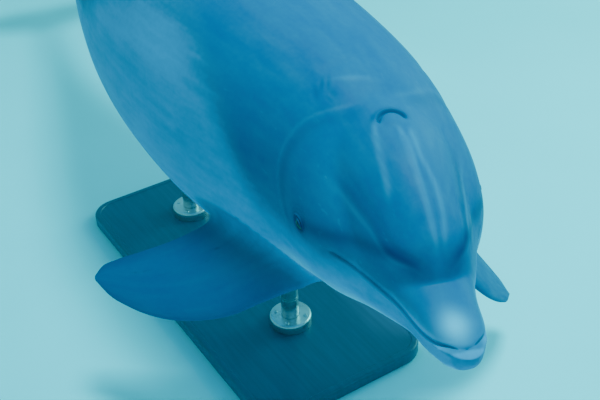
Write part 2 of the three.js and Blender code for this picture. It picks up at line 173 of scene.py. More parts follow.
def unplace(points, batch=20000, rounds=7):
    # the station of each point, and how far it is left of the spine and above it
    flat = np.asarray(points, float).reshape(-1, 3)
    coarse = slice(None, None, 4)
    at = np.empty(len(flat))
    for start in range(0, len(flat), batch):
        some = slice(start, start + batch)
        apart = flat[some, None, :] - spinePoints[None, coarse, :]
        at[some] = spineStations[coarse][np.argmin((apart**2).sum(2), 1)]
    for _ in range(rounds):
        back, _, _ = frameAt(at)
        at = at + ((flat - spineAt(at)) * back).sum(1)
        at = np.clip(at, spineStations[0], spineStations[-1])
    _, left, up = frameAt(at)
    off = flat - spineAt(at)
    shape = np.shape(points)[:-1]
    return at.reshape(shape), (off * left).sum(1).reshape(shape), (off * up).sum(1).reshape(shape)


def centreAt(at):
    return (read(body["seam"], at) - body["lip"]) * (1 - smooth(*body["lipEnd"], at))


def ovalRadius(angle, wide, high, power):
    across = np.abs(np.cos(angle)) / wide
    along = np.abs(np.sin(angle)) / high
    return (across**power + along**power) ** (-1 / power)


def skinRadius(at, angle):
    # from the middle of a section to the skin; the angle is 0 at the animal's left and a quarter turn on top
    wide, top, deep = (read(body["profile"], at, column) for column in (1, 2, 3))
    centre = centreAt(at)
    snout, tail, chest = (body[part] for part in ("snoutSquare", "tailSquare", "chestSquare"))
    square = body["square"] + snout["more"] * (1 - smooth(*snout["until"], at))
    square = square - tail["less"] * smooth(*tail["from"], at)
    lowSquare = square + chest["more"] * window(at, *chest["along"])
    under = np.maximum(roundEnd((at + body["chinReach"]) / body["chinRound"]), 1e-4)
    low = ovalRadius(angle, wide * under, (deep + centre) * under, lowSquare)
    lip = ovalRadius(angle, wide * under, body["lip"] * under, square)
    above = np.maximum(roundEnd(at / body["snoutRound"]), 1e-3)
    high = np.maximum(lip, ovalRadius(angle, wide * above, (top - centre) * above, square))
    dome = ovalRadius(angle, read(body["melon"], at, 1), read(body["melon"], at, 2), 2)
    share = np.clip(0.5 + (dome - high) / (2 * body["melonBlend"]), 0, 1)
    domed = mix(high, dome, share) + body["melonBlend"] * share * (1 - share)
    high = np.where((at >= body["melon"][0][0]) & (at <= body["melonEnd"]), domed, high)
    return np.where(np.sin(angle) < 0, low, high)


def onSkin(at, angle, lift=0):
    at, angle = np.broadcast_arrays(at, angle)
    radius = skinRadius(at, angle) + lift
    return place(at, radius * np.cos(angle), centreAt(at) + radius * np.sin(angle))


def degreesDown(left, up):
    # how far round from the top of the back a place is
    return np.degrees(np.arctan2(np.abs(left), up))


def sectionAngle(at, left, up):
    return np.arctan2(up - centreAt(at), left)


def outwards(at, angle):
    # the way the skin faces
    along = onSkin(at + 1, angle) - onSkin(at - 1, angle)
    around = onSkin(at, angle + 0.01) - onSkin(at, angle - 0.01)
    normal = np.cross(around, along)
    return normal / np.linalg.norm(normal, axis=-1, keepdims=True)


def angleAtHeight(at, height):
    # the angle at which the animal's left side is this high
    low = np.full(np.shape(at), -math.pi / 2)
    high = -low
    for _ in range(30):
        middle = (low + high) / 2
        under = centreAt(at) + skinRadius(at, middle) * np.sin(middle) < height
        low = np.where(under, middle, low)
        high = np.where(under, high, middle)
    return (low + high) / 2


mouth = {
    # height of the line between the lips, up to the corner of the mouth
    "line": [(-30, 17), (0, 15), (30, 10), (60, 5), (90, 3), (120, 6), (155, 10), (207, 12), (256, 14)],
    "front": 12,  # ahead of this the line keeps its angle
    "end": 256,
    "depth": 3.2,
    "width": 1.7,
    "lipRise": 1.2,
    "lipAt": 4.6,
    "lipWidth": 2.4,
    "lipStart": (2, 20),
    "tipLine": 1.4,  # round the front of the snout the line runs this far under its tip
    "tipEnd": 8,
}
# the rows of skin gather along the lips, and spread evenly again behind them
gather = {"share": 0.72, "near": 0.14, "far": 0.6, "wide": 0.9, "until": (280, 400)}

headEnd = 420  # station behind which the folds of the head don't reach
blowhole = {
    "at": 326,  # centre of the crescent's arc; its ends point forward
    "radius": 21,
    "spread": 104,  # degrees to each side
    "depth": 5.4,
    "width": 2.5,
    "fade": 45,  # degrees over which each end runs out
    "flap": {"rise": 1.6, "width": 14, "fade": (8, 21)},
    "rim": {"rise": 1.6, "width": 5, "out": 6},
    "hollow": {"depth": 1.2, "width": 14, "ahead": 26},
}
# ridges on the forehead: station, distance left of the middle
ridges = [
    {"line": [(128, 1), (164, 2), (211, 3), (259, 4), (312, 3)], "rise": 1.2, "width": 6.5},
    {"line": [(206, -43), (232, -41), (279, -37), (338, -27)], "rise": 1.0, "width": 7},
    {"line": [(132, 14), (165, 22), (204, 24), (250, 17), (306, 19)], "rise": 1.0, "width": 6},
]
# creases, as degrees down from the top of the back and the station they reach there
neckCrease = {
    "line": [(8, 386), (17, 392), (39, 422), (54, 430), (79, 412), (96, 378)],
    "depth": 0.85,
    "width": 8,
    "swell": {"share": 0.5, "behind": 18, "width": 16},
    "fade": (4, 20, 84, 104),
}
napeCrease = {"line": [(0, 470), (30, 480), (60, 508), (80, 520)], "depth": 1.1, "width": 9, "fade": (58, 84)}
# this one is a line of stations, and the degrees down that it has there
cheekCrease = {
    "line": [(110, 9), (140, 29), (207, 32), (278, 34), (330, 36)],
    "depth": 1.4,
    "width": 6,
    "perDegree": 1.9,  # millimetres round the forehead
    "fade": (106, 130, 280, 330),
}
# soft strokes on the nape: each end is a station and a distance left of the middle
napeStrokes = [
    {"from": (463, -63), "to": (441, -76), "width": 4.2, "depth": 1, "dark": 0.24, "pale": 0},
    {"from": (460, -54), "to": (437, -66), "width": 3.6, "depth": 0.9, "dark": 0.18, "pale": 0},
    {"from": (457, -80), "to": (433, -85), "width": 4, "depth": 0.9, "dark": 0.2, "pale": 0},
    {"from": (436, -64), "to": (414, -60), "width": 4, "depth": 0.9, "dark": 0.18, "pale": 0},
    {"from": (427, -72), "to": (411, -67), "width": 3.4, "depth": 0.7, "dark": 0.12, "pale": 0},
    {"from": (450, -54), "to": (424, 8), "width": 5, "depth": -0.8, "dark": 0, "pale": 0.1},
]
# slits on the middle of the belly, each with a lip on both sides
slits = [{"from": 1552, "to": 1660, "depth": 5}, {"from": 1118, "to": 1136, "depth": 3}]
slitShape = {
    "width": 3.5, "lipShare": 0.5, "lipOut": 9, "lipWidth": 6,
    "finer": (14, 20, 2),  # finer faces reach this far past the ends and aside, with this many cuts
}


def mouthAngle(at):
    at = np.maximum(at, mouth["front"])
    return angleAtHeight(at, read(mouth["line"], at))


def lipRelief(at, angle):
    side = np.where(np.cos(angle) >= 0, angle, math.pi - angle)
    side = np.where(side > math.pi, side - 2 * math.pi, side)
    apart = (side - mouthAngle(at)) * skinRadius(at, angle)
    front = np.minimum(np.abs(apart), np.abs(at - mouth["tipLine"]))
    apart = np.where((at < mouth["tipEnd"]) & (apart > 0), front, np.abs(apart))
    groove = -mouth["depth"] * bell(apart, mouth["width"])
    lips = mouth["lipRise"] * bell(apart - mouth["lipAt"], mouth["lipWidth"]) * smooth(*mouth["lipStart"], at)
    return (groove + lips) * window(at, -9, 1, mouth["end"] - 8, mouth["end"] + 3)


def blowholeArc(at, left):
    # how far a place is from the arc's centre and outside the arc, and how the arc fades at its ends
    ahead = at - blowhole["at"]
    out = np.hypot(ahead, left)
    turn = np.degrees(np.arctan2(np.abs(left), ahead))
    ends = 1 - smooth(blowhole["spread"] - blowhole["fade"], blowhole["spread"], turn)
    return out, out - blowhole["radius"], ends


def blowholeRelief(at, left):
    out, off, ends = blowholeArc(at, left)
    flap, rim, hollow = (blowhole[part] for part in ("flap", "rim", "hollow"))
    lift = -blowhole["depth"] * bell(off, blowhole["width"]) * ends
    lift += flap["rise"] * bell(out, flap["width"]) * (1 - smooth(*flap["fade"], out))
    lift += rim["rise"] * bell(off - rim["out"], rim["width"]) * ends
    lift -= hollow["depth"] * bell(np.hypot(at - blowhole["at"] + hollow["ahead"], left), hollow["width"])
    return lift


def ridgeFade(ridge, at):
    first, last = ridge["line"][0][0], ridge["line"][-1][0]
    return window(at, first - 14, first + 14, last - 18, last + 6)


def neckFold(at, fromTop):
    # how far behind the fold round the neck a place is, and how the fold fades at its ends
    behind = at - read(neckCrease["line"], fromTop)
    return behind, window(fromTop, *neckCrease["fade"])


def strokeNear(stroke, at, left):
    # 1 in the middle of the stroke, fading to 0 beside it and past its ends
    start, end = (np.array(stroke[key], float) for key in ("from", "to"))
    half = (end - start) / 2
    reach = np.hypot(*half)
    off, aside = at - start[0] - half[0], left - start[1] - half[1]
    along = (off * half[0] + aside * half[1]) / reach
    across = (aside * half[0] - off * half[1]) / reach
    return bell(np.hypot(along / reach, across / stroke["width"]), 1)


def relief(at, left, up, angle):
    # how far the skin stands above the plain section, in millimetres
    top = np.sin(angle) > 0
    fromTop = degreesDown(left, up)
    lift = np.where(at < mouth["end"] + 12, lipRelief(at, angle), 0)
    lift += np.where(top & (at < headEnd), blowholeRelief(at, left), 0)
    for ridge in ridges:
        fade = ridgeFade(ridge, at) * top
        lift += ridge["rise"] * bell(left - read(ridge["line"], at), ridge["width"]) * fade
    neck, neckFade = neckFold(at, fromTop)
    swell = neckCrease["swell"]
    fold = swell["share"] * bell(neck - swell["behind"], swell["width"]) - bell(neck, neckCrease["width"])
    lift += neckCrease["depth"] * fold * neckFade
    nape = at - read(napeCrease["line"], fromTop)
    lift -= napeCrease["depth"] * bell(nape, napeCrease["width"]) * (1 - smooth(*napeCrease["fade"], fromTop))
    cheek = (fromTop - read(cheekCrease["line"], at)) * cheekCrease["perDegree"]
    lift -= cheekCrease["depth"] * bell(cheek, cheekCrease["width"]) * window(at, *cheekCrease["fade"])
    for stroke in napeStrokes:
        lift -= stroke["depth"] * strokeNear(stroke, at, left) * top
    lips = slitShape["lipShare"] * bell(np.abs(left) - slitShape["lipOut"], slitShape["lipWidth"])
    opening = (lips - bell(left, slitShape["width"])) * (up < 0)
    for slit in slits:
        low, high = slit["from"], slit["to"]
        lift += slit["depth"] * opening * window(at, low - 6, low + 8, high - 8, high + 6)
    return lift


def pickFaces(piece, picked):
    # leaves the piece in edit mode with just these faces selected
    bpy.context.view_layer.objects.active = piece
    bpy.ops.object.mode_set(mode="EDIT")
    bpy.ops.mesh.select_mode(type="FACE")
    bpy.ops.mesh.select_all(action="DESELECT")
    bpy.ops.object.mode_set(mode="OBJECT")
    piece.data.polygons.foreach_set("select", picked)
    bpy.ops.object.mode_set(mode="EDIT")


def corners(piece):
    found = np.empty(len(piece.data.vertices) * 3)
    piece.data.vertices.foreach_get("co", found)
    return found.reshape(-1, 3) / mm


def setCorners(piece, points):
    piece.data.vertices.foreach_set("co", (points * mm).reshape(-1).astype(np.float32))
    piece.data.update()


def faceMiddles(piece):
    found = np.empty(len(piece.data.polygons) * 3)
    piece.data.polygons.foreach_get("center", found)
    return found.reshape(-1, 3) / mm


def layGrid(name, points):
    # a grid whose rows and columns lie on these points, in millimetres
    rows, columns = points.shape[:2]
    bpy.ops.mesh.primitive_grid_add(x_subdivisions=columns - 1, y_subdivisions=rows - 1)
    piece = bpy.context.object
    piece.name = name
    setCorners(piece, points.reshape(-1, 3))
    return piece


def mergeDoubles(piece, threshold=1e-5):
    bpy.context.view_layer.objects.active = piece
    bpy.ops.object.mode_set(mode="EDIT")
    bpy.ops.mesh.select_all(action="SELECT")
    bpy.ops.mesh.remove_doubles(threshold=threshold)
    bpy.ops.object.mode_set(mode="OBJECT")


def turnOut(piece):
    # makes every face point outwards
    bpy.context.view_layer.objects.active = piece
    bpy.ops.object.mode_set(mode="EDIT")
    bpy.ops.mesh.select_all(action="SELECT")
    bpy.ops.mesh.normals_make_consistent(inside=False)
    mesh = bmesh.from_edit_mesh(piece.data)
    if mesh.calc_volume(signed=True) < 0:
        bpy.ops.mesh.flip_normals()
    bpy.ops.object.mode_set(mode="OBJECT")


def joinTo(piece, others):
    bpy.ops.object.select_all(action="DESELECT")
    for other in others:
        other.select_set(True)
    piece.select_set(True)
    bpy.context.view_layer.objects.active = piece
    bpy.ops.object.join()


def setAttribute(piece, name, values):
    kind = "FLOAT" if values.ndim == 1 else "FLOAT_VECTOR"
    key = "value" if values.ndim == 1 else "vector"
    attribute = piece.data.attributes.new(name, kind, "POINT")
    attribute.data.foreach_set(key, values.reshape(-1).astype(np.float32))


def rimOf(piece):
    # the corners round the one hole in the piece, in order, in millimetres
    mesh = bmesh.new()
    mesh.from_mesh(piece.data)
    edge = next(edge for edge in mesh.edges if edge.is_boundary)
    first, corner = edge.verts
    rim = [first.co[:]]
    while corner is not first:
        rim.append(corner.co[:])
        edge = next(other for other in corner.link_edges if other.is_boundary and other is not edge)
        corner = edge.other_vert(corner)
    mesh.free()
    return np.array(rim) / mm


def cutHole(piece, inside):
    pickFaces(piece, inside)
    bpy.ops.mesh.delete(type="FACE")
    bpy.ops.object.mode_set(mode="OBJECT")
    return rimOf(piece)


def closeRing(rows):
    return np.concatenate((rows, rows[:, :1]), 1)


markings = {
    # degrees down from the top at which the dark cape ends and the pale belly begins
    "cape": [
        (0, 66), (150, 78), (300, 90), (400, 94), (500, 88), (600, 62), (730, 42), (850, 36), (1050, 44),
        (1270, 62), (1450, 54), (1700, 60), (2000, 84), (2290, 100),
    ],
    "belly": [
        (-20, 118), (60, 124), (150, 122), (266, 116), (350, 116), (500, 122), (700, 127), (950, 130),
        (1200, 134), (1500, 142), (1700, 152), (1900, 168), (2100, 190),
    ],
    "top": (0, 25),  # the lines on the head fade out between these heights
    "capeEdge": (16, 18),
    "bellyEdge": (12, 22),
    "chinEdge": (-6, 4),
    "backTone": 0.1,
    "flankTone": 0.5,
    "chinTone": 0.4,
    # the beak's tip is paler, and its top also carries a painted highlight
    "tip": {"at": 34, "left": -5, "long": 25, "wide": 20, "strength": 0.8, "edge": (4, 16)},
    "stripe": {"line": [(111, 48), (131, 66), (181, 62), (250, 42), (334, 20)], "width": 12, "dark": 0.55,
               "along": (102, 128, 318, 340), "side": (2, 12)},
    "eyeRing": {"width": 24, "squash": 1.3, "dark": 0.35},
    "eyeSpot": {"long": 19, "high": 9, "dark": 0.6},
    # painted shade along the crease at the forehead's edge, and a painted highlight beside it
    "melonShadeAndHighlight": {"below": 4, "width": 9, "dark": 0.4, "highlightAt": 12, "highlightWidth": 4, "pale": 0.12,
                  "along": (106, 140, 260, 330)},
    # painted shade in the hollow ahead of the neck's fold, and a painted highlight along the fold
    "neck": {"ahead": 14, "width": 14, "dark": 0.2, "highlightAt": 3, "highlightWidth": 4, "pale": 0.08},
    # painted shade round the sunken crescent of the blowhole
    "blowhole": {"out": 2, "width": 9, "dark": 0.4},
    # painted highlights along the ridges of the forehead
    "ridge": {"width": 4.6, "pale": 0.17},
    "finUnder": {"tone": 0.5, "edge": (0.05, 0.6)},
    "finEdge": {"dark": 0.25, "chord": (0.75, 1), "span": (0.1, 0.4)},
    "finGrain": (160, 30),
}
eyeZone = 60  # the eyes and the marks round them lie at least this far from the middle


def bodyTone(at, left, up):
    # 0 is the darkest skin of the back and 1 the palest of the belly
    fromTop = degreesDown(left, up)

    def between(line, edge):
        above, below = markings[edge]
        return smooth(line - above, line + below, fromTop)

    cape = read(markings["cape"], at)
    belly = read(markings["belly"], at)
    tone = mix(markings["backTone"], markings["flankTone"], between(cape, "capeEdge"))
    tone = mix(tone, 1, between(belly, "bellyEdge"))
    # ahead of the upper jaw there is only the tip of the lower one
    return mix(tone, markings["chinTone"], 1 - smooth(*markings["chinEdge"], at))


def paintBody(piece):
    at, left, up = unplace(corners(piece))
    fromTop = degreesDown(left, up)
    onTop = smooth(*markings["top"], up)
    side = np.abs(left)
    # the dark band from the eye to the beak, and the rings round the eye
    band = markings["stripe"]
    dark = band["dark"] * bell(up - read(band["line"], at), band["width"]) * window(at, *band["along"])
    dark *= smooth(*band["side"], side)
    ring, spot = markings["eyeRing"], markings["eyeSpot"]
    along, across = eyeChart(at, up)
    rings = ring["dark"] * bell(np.hypot(along, across * ring["squash"]), ring["width"])
    rings += spot["dark"] * bell(np.hypot(along / spot["long"], across / spot["high"]), 1)
    dark += rings * (side > eyeZone)
    # painted shade along the crease at the edge of the forehead, in the hollow ahead of the neck's fold and
    # round the crescent of the blowhole
    melon = markings["melonShadeAndHighlight"]
    rim = (fromTop - read(cheekCrease["line"], at) - melon["below"]) * cheekCrease["perDegree"]
    melonFade = window(at, *melon["along"]) * onTop
    dark += melon["dark"] * bell(rim, melon["width"]) * melonFade
    fold = markings["neck"]
    neck, neckFade = neckFold(at, fromTop)
    dark += fold["dark"] * bell(neck + fold["ahead"], fold["width"]) * neckFade
    hole = markings["blowhole"]
    _, out, ends = blowholeArc(at, left)
    dark += hole["dark"] * bell(out - hole["out"], hole["width"]) * ends * onTop
    # the paler tip of the beak with a painted highlight on its top, and painted highlights beside the folds
    # and along the ridges
    tip = markings["tip"]
    off = np.hypot((at - tip["at"]) / tip["long"], (left - tip["left"]) / tip["wide"])
    pale = tip["strength"] * bell(off, 1) * smooth(*tip["edge"], up)
    pale = np.maximum(pale, fold["pale"] * bell(neck - fold["highlightAt"], fold["highlightWidth"]) * neckFade)
    pale = np.maximum(pale, melon["pale"] * bell(rim - melon["highlightAt"], melon["highlightWidth"]) * melonFade)
    for ridge in ridges:
        line = bell(left - read(ridge["line"], at), markings["ridge"]["width"])
        pale = np.maximum(pale, markings["ridge"]["pale"] * line * ridgeFade(ridge, at) * onTop)
    for stroke in napeStrokes:
        line = strokeNear(stroke, at, left) * onTop
        dark += stroke["dark"] * line
        pale = np.maximum(pale, stroke["pale"] * line)
    setAttribute(piece, "tone", bodyTone(at, left, up))
    # dark holds the skin's dark markings and also painted shade in the creases; pale holds painted highlights
    # and the beak's paler tip
    setAttribute(piece, "dark", np.clip(dark, 0, 1))
    setAttribute(piece, "pale", pale)
    setAttribute(piece, "lie", np.stack((at, left, up), -1) * mm)


def finPaint(fin, turn):
    # the upper side of a fin is as dark as the back and its lower side a little paler
    below = markings["finUnder"]
    under = smooth(*below["edge"], -np.sin(turn)) * fin["paleUnder"]
    return mix(fin["tone"], below["tone"], under), fin["dark"] * (1 - under)


def paintFin(piece, fin, share, turn, rootTone, grown):
    ownTone, ownDark = finPaint(fin, turn)
    grown = mix(fin["rootShare"], 1, smooth(0, 1, grown))
    chordShare = (1 - np.cos(turn)) / 2
    rear = markings["finEdge"]
    edge = rear["dark"] * smooth(*rear["chord"], chordShare) * smooth(*rear["span"], share)
    long, wide = markings["finGrain"]
    setAttribute(piece, "tone", mix(rootTone, ownTone, grown))
    setAttribute(piece, "dark", edge + ownDark * grown)
    setAttribute(piece, "pale", 0 * share)
    along = np.stack((share * fin["span"], chordShare * long, np.sign(np.sin(turn)) * wide), -1)
    setAttribute(piece, "lie", along * mm)


def paintRoot(skin, fin, oval):
    # the colour of a fin spreads a little way over the body
    points = corners(skin)
    close = np.linalg.norm(points - fin["root"], axis=1) < fin["span"]
    turn, out = ovalTurn(oval, fin, oval["chart"](points[close]))
    share = fin["rootShare"] * (1 - smooth(finRows["hole"], fin["rootReach"], out))
    for name, own in zip(("tone", "dark"), finPaint(fin, turn)):
        attribute = skin.data.attributes[name]
        values = np.empty(len(points), np.float32)
        attribute.data.foreach_get("value", values)
        target = own if name == "tone" else np.maximum(own, values[close])
        values[close] = mix(values[close], target, share)
        attribute.data.foreach_set("value", values)


skinGrid = {
    "columns": 176,
    # runs of rows: from, to, how many
    "runs": [(4, 34, 13), (34, 100, 17), (100, 170, 26), (170, 400, 66), (400, 500, 18),
             (500, 1500, 100), (1500, 2290, 64)],
    "chinRows": 13,
    "chinGather": 1.7,
    "lipRows": 10,
    "lips": (-2.5, 4),
    # finer faces round the blowhole and at the strokes on the nape: station, left, height, reach, cuts
    "finer": [(326, 0, 179.3, 40, 1), (326, 0, 179.3, 33, 2), (438, -70, 187, 38, 2), (438, -24, 197, 26, 1)],
}

fluke = {  # both flukes, as the last rings of the skin
    "span": 312,
    "at": 2400,
    "droop": 4,
    "from": 2290,
    "notch": 2492,
    "rows": 44,
    "gather": 1.5,
    "tipFrom": 0.93,
    "stockRound": 1.8,
    "stockShare": 0.07,  # of the rings, before the leading edges leave the tail stock
    "stockWide": 21.3,  # half width of the tail stock there
    # share of the span, leading and trailing edges ahead of the root, half thickness
    "outline": [
        (0, 104, -92, 14), (0.06, 88, -104, 13), (0.12, 74, -112, 12), (0.3, 46, -116, 10.5),
        (0.5, 8, -112, 8), (0.7, -38, -110, 6), (0.86, -82, -120, 4.2), (0.96, -118, -136, 3),
        (1, -140, -146, 2.2),
    ],
}
finEdge = 0.4  # half thickness of a trailing edge
foil = {"front": 2.6, "rear": 0.12}


def foilBulge(chordShare):
    # half thickness of a foil section as a share of its greatest
    return foil["front"] * np.sqrt(chordShare) * (1 - chordShare) + foil["rear"] * chordShare


def columnAngles(at, even):
    # evenly spread angles, gathered on each side to the line of the mouth
    fade = 1 - smooth(*gather["until"], at)
    onLeft = np.cos(even) >= 0
    off = np.where(onLeft, even, math.pi - even)
    level = np.cos(off) ** 2
    near = gather["share"] * gather["near"] * np.tanh(off / gather["near"]) * bell(off, gather["far"])
    shift = (mouthAngle(at) * bell(off, gather["wide"]) - near) * level * fade
    return even + np.where(onLeft, shift, -shift)


def bodyRows(even):
    reach = body["chinReach"]
    firstLip, lastLip = skinGrid["lips"]
    chin = reach * (np.linspace(0, 1, skinGrid["chinRows"]) ** skinGrid["chinGather"] - 1)
    chin = chin[chin < firstLip]
    lips = np.linspace(firstLip, lastLip, skinGrid["lipRows"])
    runs = [np.linspace(low, high, count, endpoint=False) for low, high, count in skinGrid["runs"]]
    at = np.concatenate((chin, lips[:-1], *runs, [fluke["from"]]))[:, None]
    angle = columnAngles(at, even[None, :])
    rows = onSkin(at, angle)
    rows[0] = place(np.array(-reach), 0, centreAt(np.array(-reach)))
    return rows


def flukeHeight(at, across, column):
    # height of the flukes' upper face, or depth of the lower one, over the flat they lie in
    share = np.abs(across) / fluke["span"]
    lead, trail, thick = (read(fluke["outline"], share, i) for i in (1, 2, 3))
    chordShare = np.clip((lead - fluke["at"] + at) / (lead - trail), 0, 1)
    blade = thick * foilBulge(chordShare) + finEdge * chordShare
    wide, high = (read(body["profile"], at, i) for i in (1, column))
    power = fluke["stockRound"]
    stock = high * np.maximum(1 - (np.abs(across) / wide) ** power, 0) ** (1 / power)
    stock = stock * (1 - smooth(fluke["at"], fluke["notch"], at))
    return (blade**3 + stock**3) ** (1 / 3)


def flukeRows(even):
    # rings that spread from the tail stock until the last one is the trailing edge
    done = 1 - (1 - np.linspace(0, 1, fluke["rows"] + 1)[1:, None]) ** fluke["gather"]
    across = np.cos(even)[None, :]
    outline = fluke["outline"]
    spread = np.clip((done - fluke["stockShare"]) / (1 - fluke["stockShare"]), 0, 1)
    wide = mix(fluke["stockWide"], fluke["span"], spread)
    lead = fluke["at"] - read(outline, wide / fluke["span"], 1)
    tip = fluke["at"] - outline[-1][2]
    end = np.where(spread > 0, lead, mix(fluke["from"], lead, done / fluke["stockShare"]))
    wide = np.where(spread > 0, wide, read(body["profile"], end, 1))
    end = mix(end, tip, smooth(fluke["tipFrom"], 1, done))
    trailing = fluke["at"] - read(outline, np.abs(across), 2) - fluke["notch"]
    bow = mix(across**2, trailing / (tip - fluke["notch"]), done**2)
    at = end - (tip - fluke["notch"]) * done**2 * (1 - bow)
    y = wide * across
    top = flukeHeight(at, y, 2)
    deep = flukeHeight(at, y, 3)
    up = np.where(np.sin(even) >= 0, top, -deep) * (np.abs(np.sin(even)) > 1e-6)
    up[-1] = 0
    droop = math.radians(fluke["droop"])
    return place(at, y * math.cos(droop), up - np.abs(y) * math.sin(droop))


def near(points, at, left, up, reach):
    # which points are within reach of a place on the body
    return np.linalg.norm(points - place(np.array(at), left, up), axis=-1) < reach


def makeSkin():
    even = np.linspace(-math.pi / 2, 1.5 * math.pi, skinGrid["columns"] + 1)
    skin = layGrid("dolphin_skin", np.concatenate((bodyRows(even), flukeRows(even))))
    mergeDoubles(skin)
    for *spot, reach, cuts in skinGrid["finer"]:
        pickFaces(skin, near(faceMiddles(skin), *spot, reach))
        bpy.ops.mesh.subdivide(number_cuts=cuts)
        bpy.ops.object.mode_set(mode="OBJECT")
    for slit in slits:
        at, left, up = unplace(faceMiddles(skin))
        past, aside, cuts = slitShape["finer"]
        along = (at > slit["from"] - past) & (at < slit["to"] + past)
        pickFaces(skin, along & (np.abs(left) < aside) & (up < 0))
        bpy.ops.mesh.subdivide(number_cuts=cuts)
        bpy.ops.object.mode_set(mode="OBJECT")
    points = corners(skin)
    at, left, up = unplace(points)
    angle = sectionAngle(at, left, up)
    lift = relief(at, left, up, angle)
    whole = (at > 0.1 - body["chinReach"]) & (at < fluke["from"])
    setCorners(skin, np.where(whole[:, None], onSkin(at, angle, lift), points))
    paintBody(skin)
    print("skin laid:", len(skin.data.polygons), "faces")
    return skin


flipperOutline = [  # share of the span, leading edge, trailing edge, half thickness
    (-0.45, 0, -30, 30), (-0.3, 62, -62, 31), (-0.15, 96, -84, 28), (0, 93, -88, 21.5),
    (0.15, 90, -92, 16.5), (0.3, 88, -92, 14.5), (0.5, 68, -94, 11.5), (0.7, 30, -104, 8.5),
    (0.85, -16, -113, 6), (0.95, -58, -114, 4.2), (1, -92, -104, 2.8),
]
flippers = {  # sweep, droop and twist in degrees
    "right": {"side": -1, "at": 530, "height": -132, "sweep": 34, "droop": 31, "twist": -38},
    "left": {"side": 1, "at": 500, "height": -122, "sweep": -26, "droop": 57, "twist": 0},
}
flipperBase = {
    "span": 385, "inset": 16, "chartAt": 520, "tone": 0.08, "dark": 0.22, "paleUnder": 0.8,
    "outline": flipperOutline, "skirt": (44, 34), "sideSkirt": 34, "fillet": 0.11, "fade": 3,
    "rootShare": 0.4, "rootReach": 1.2,
}
dorsal = {
    "span": 261, "at": 1270, "chartAt": 1270, "sink": 26, "tone": 0.06, "dark": 0.15, "paleUnder": 0,
    "outline": [
        (0, 235, -165, 34), (0.1, 190, -150, 22), (0.2, 152, -140, 16.5), (0.35, 100, -128, 14),
        (0.6, 14, -130, 9.5), (0.8, -60, -148, 6), (0.93, -122, -172, 3.6), (1, -168, -186, 2.4),
    ],
    "skirt": (30, 26), "sideSkirt": 20, "fillet": 0.1, "fade": 3,
    "rootShare": 0.4, "rootReach": 1.4,
}
finRows = {
    "fillet": 8, "blade": 30, "gather": 1.35,
    "hole": 1.04,  # the hole in the skin, as a share of the oval round the root
    "near": 1.6,  # only skin within this many spans of the root is looked at
    "early": 0.12,  # the pattern on the fin starts this share of the span inside the body
    "search": (0.6, 140),
    "bend": (0.35, 1.25),
}


def finPoints(fin, turn, share):
    lead, trail, thick = (read(fin["outline"], share, column) for column in (1, 2, 3))
    chordShare = (1 - np.cos(turn)) / 2
    across = mix(lead, trail, chordShare)
    through = np.sign(np.sin(turn)) * (thick * foilBulge(chordShare) + finEdge * chordShare)
    span = (share * fin["span"])[..., None] * fin["axes"][0]
    return fin["root"] + span + across[..., None] * fin["axes"][1] + through[..., None] * fin["axes"][2]


def flipperFin(pose):
    side, at = pose["side"], np.array(float(pose["at"]))
    back, left, up = frameAt(at)
    out = left * side
    s, d, t = (math.radians(pose[key]) for key in ("sweep", "droop", "twist"))
    span = back * math.sin(s) * math.cos(d) + out * math.cos(s) * math.cos(d) - up * math.sin(d)
    level = out * math.sin(s) - back * math.cos(s)
    square = back * math.sin(s) * math.sin(d) + out * math.cos(s) * math.sin(d) + up * math.cos(d)
    chord = level * math.cos(t) + square * math.sin(t)
    rise = square * math.cos(t) - level * math.sin(t)
    angle = angleAtHeight(at, pose["height"])
    reach = skinRadius(at, angle) * np.cos(angle) - flipperBase["inset"]
    root = place(at, side * reach, pose["height"])
    middle = angle if side > 0 else math.pi - angle
    return {**flipperBase, "root": root, "axes": (span, chord, rise), "middle": middle}


def dorsalFin():
    at = np.array(float(dorsal["at"]))
    back, left, up = frameAt(at)
    root = place(at, 0, skinRadius(at, math.pi / 2) - dorsal["sink"])
    tops = [read(body["profile"], at + reach, 2) for reach in (-dorsal["span"], dorsal["span"])]
    slope = math.atan2(tops[1] - tops[0], 2 * dorsal["span"])
    forward = -back * math.cos(slope) - up * math.sin(slope)
    return {**dorsal, "root": root, "axes": (up, forward, left), "middle": math.pi / 2}


def skinHit(fin, turn):
    # the share of the span at which each line of the fin leaves the body
    shares = np.linspace(fin["outline"][0][0], *finRows["search"])
    points = finPoints(fin, turn[:, None], np.broadcast_to(shares, (len(turn), len(shares))))
    at, left, up = unplace(points)
    above = np.hypot(left, up - centreAt(at)) - skinRadius(at, sectionAngle(at, left, up))
    last = len(shares) - 1 - np.argmax(above[:, ::-1] < 0, 1)
    last = np.clip(last, 0, len(shares) - 2)
    row = np.arange(len(turn))
    low, high = above[row, last], above[row, last + 1]
    return shares[last] + (shares[1] - shares[0]) * np.clip(-low / (high - low), 0, 1)


def rootOval(fin):
    # the oval round the root, in a flat chart of station and distance round the body
    radius = skinRadius(np.array(float(fin["chartAt"])), fin["middle"])

    def chart(points):
        at, left, up = unplace(points)
        angle = sectionAngle(at, left, up)
        off = (angle - fin["middle"] + math.pi) % (2 * math.pi) - math.pi
        return np.stack((at, off * radius), -1)

    turns = np.array([0, math.pi, math.pi / 2, -math.pi / 2])
    lead, trail, upper, lower = chart(finPoints(fin, turns, skinHit(fin, turns)))
    middle = (lead + trail) / 2
    half = np.linalg.norm(lead - trail) / 2
    along = (lead - trail) / (2 * half)
    across = np.array((-along[1], along[0]))
    if (upper - lower) @ across < 0:
        across = -across
    thick = abs((upper - lower) @ across) / 2
    return {"chart": chart, "radius": radius, "middle": middle, "half": half, "thick": thick,
            "along": along, "across": across}


def ovalReach(oval, fin, turn):
    ahead = mix(fin["skirt"][0], fin["skirt"][1], (1 - np.cos(turn)) / 2)
    return oval["half"] + ahead, oval["thick"] + fin["sideSkirt"]


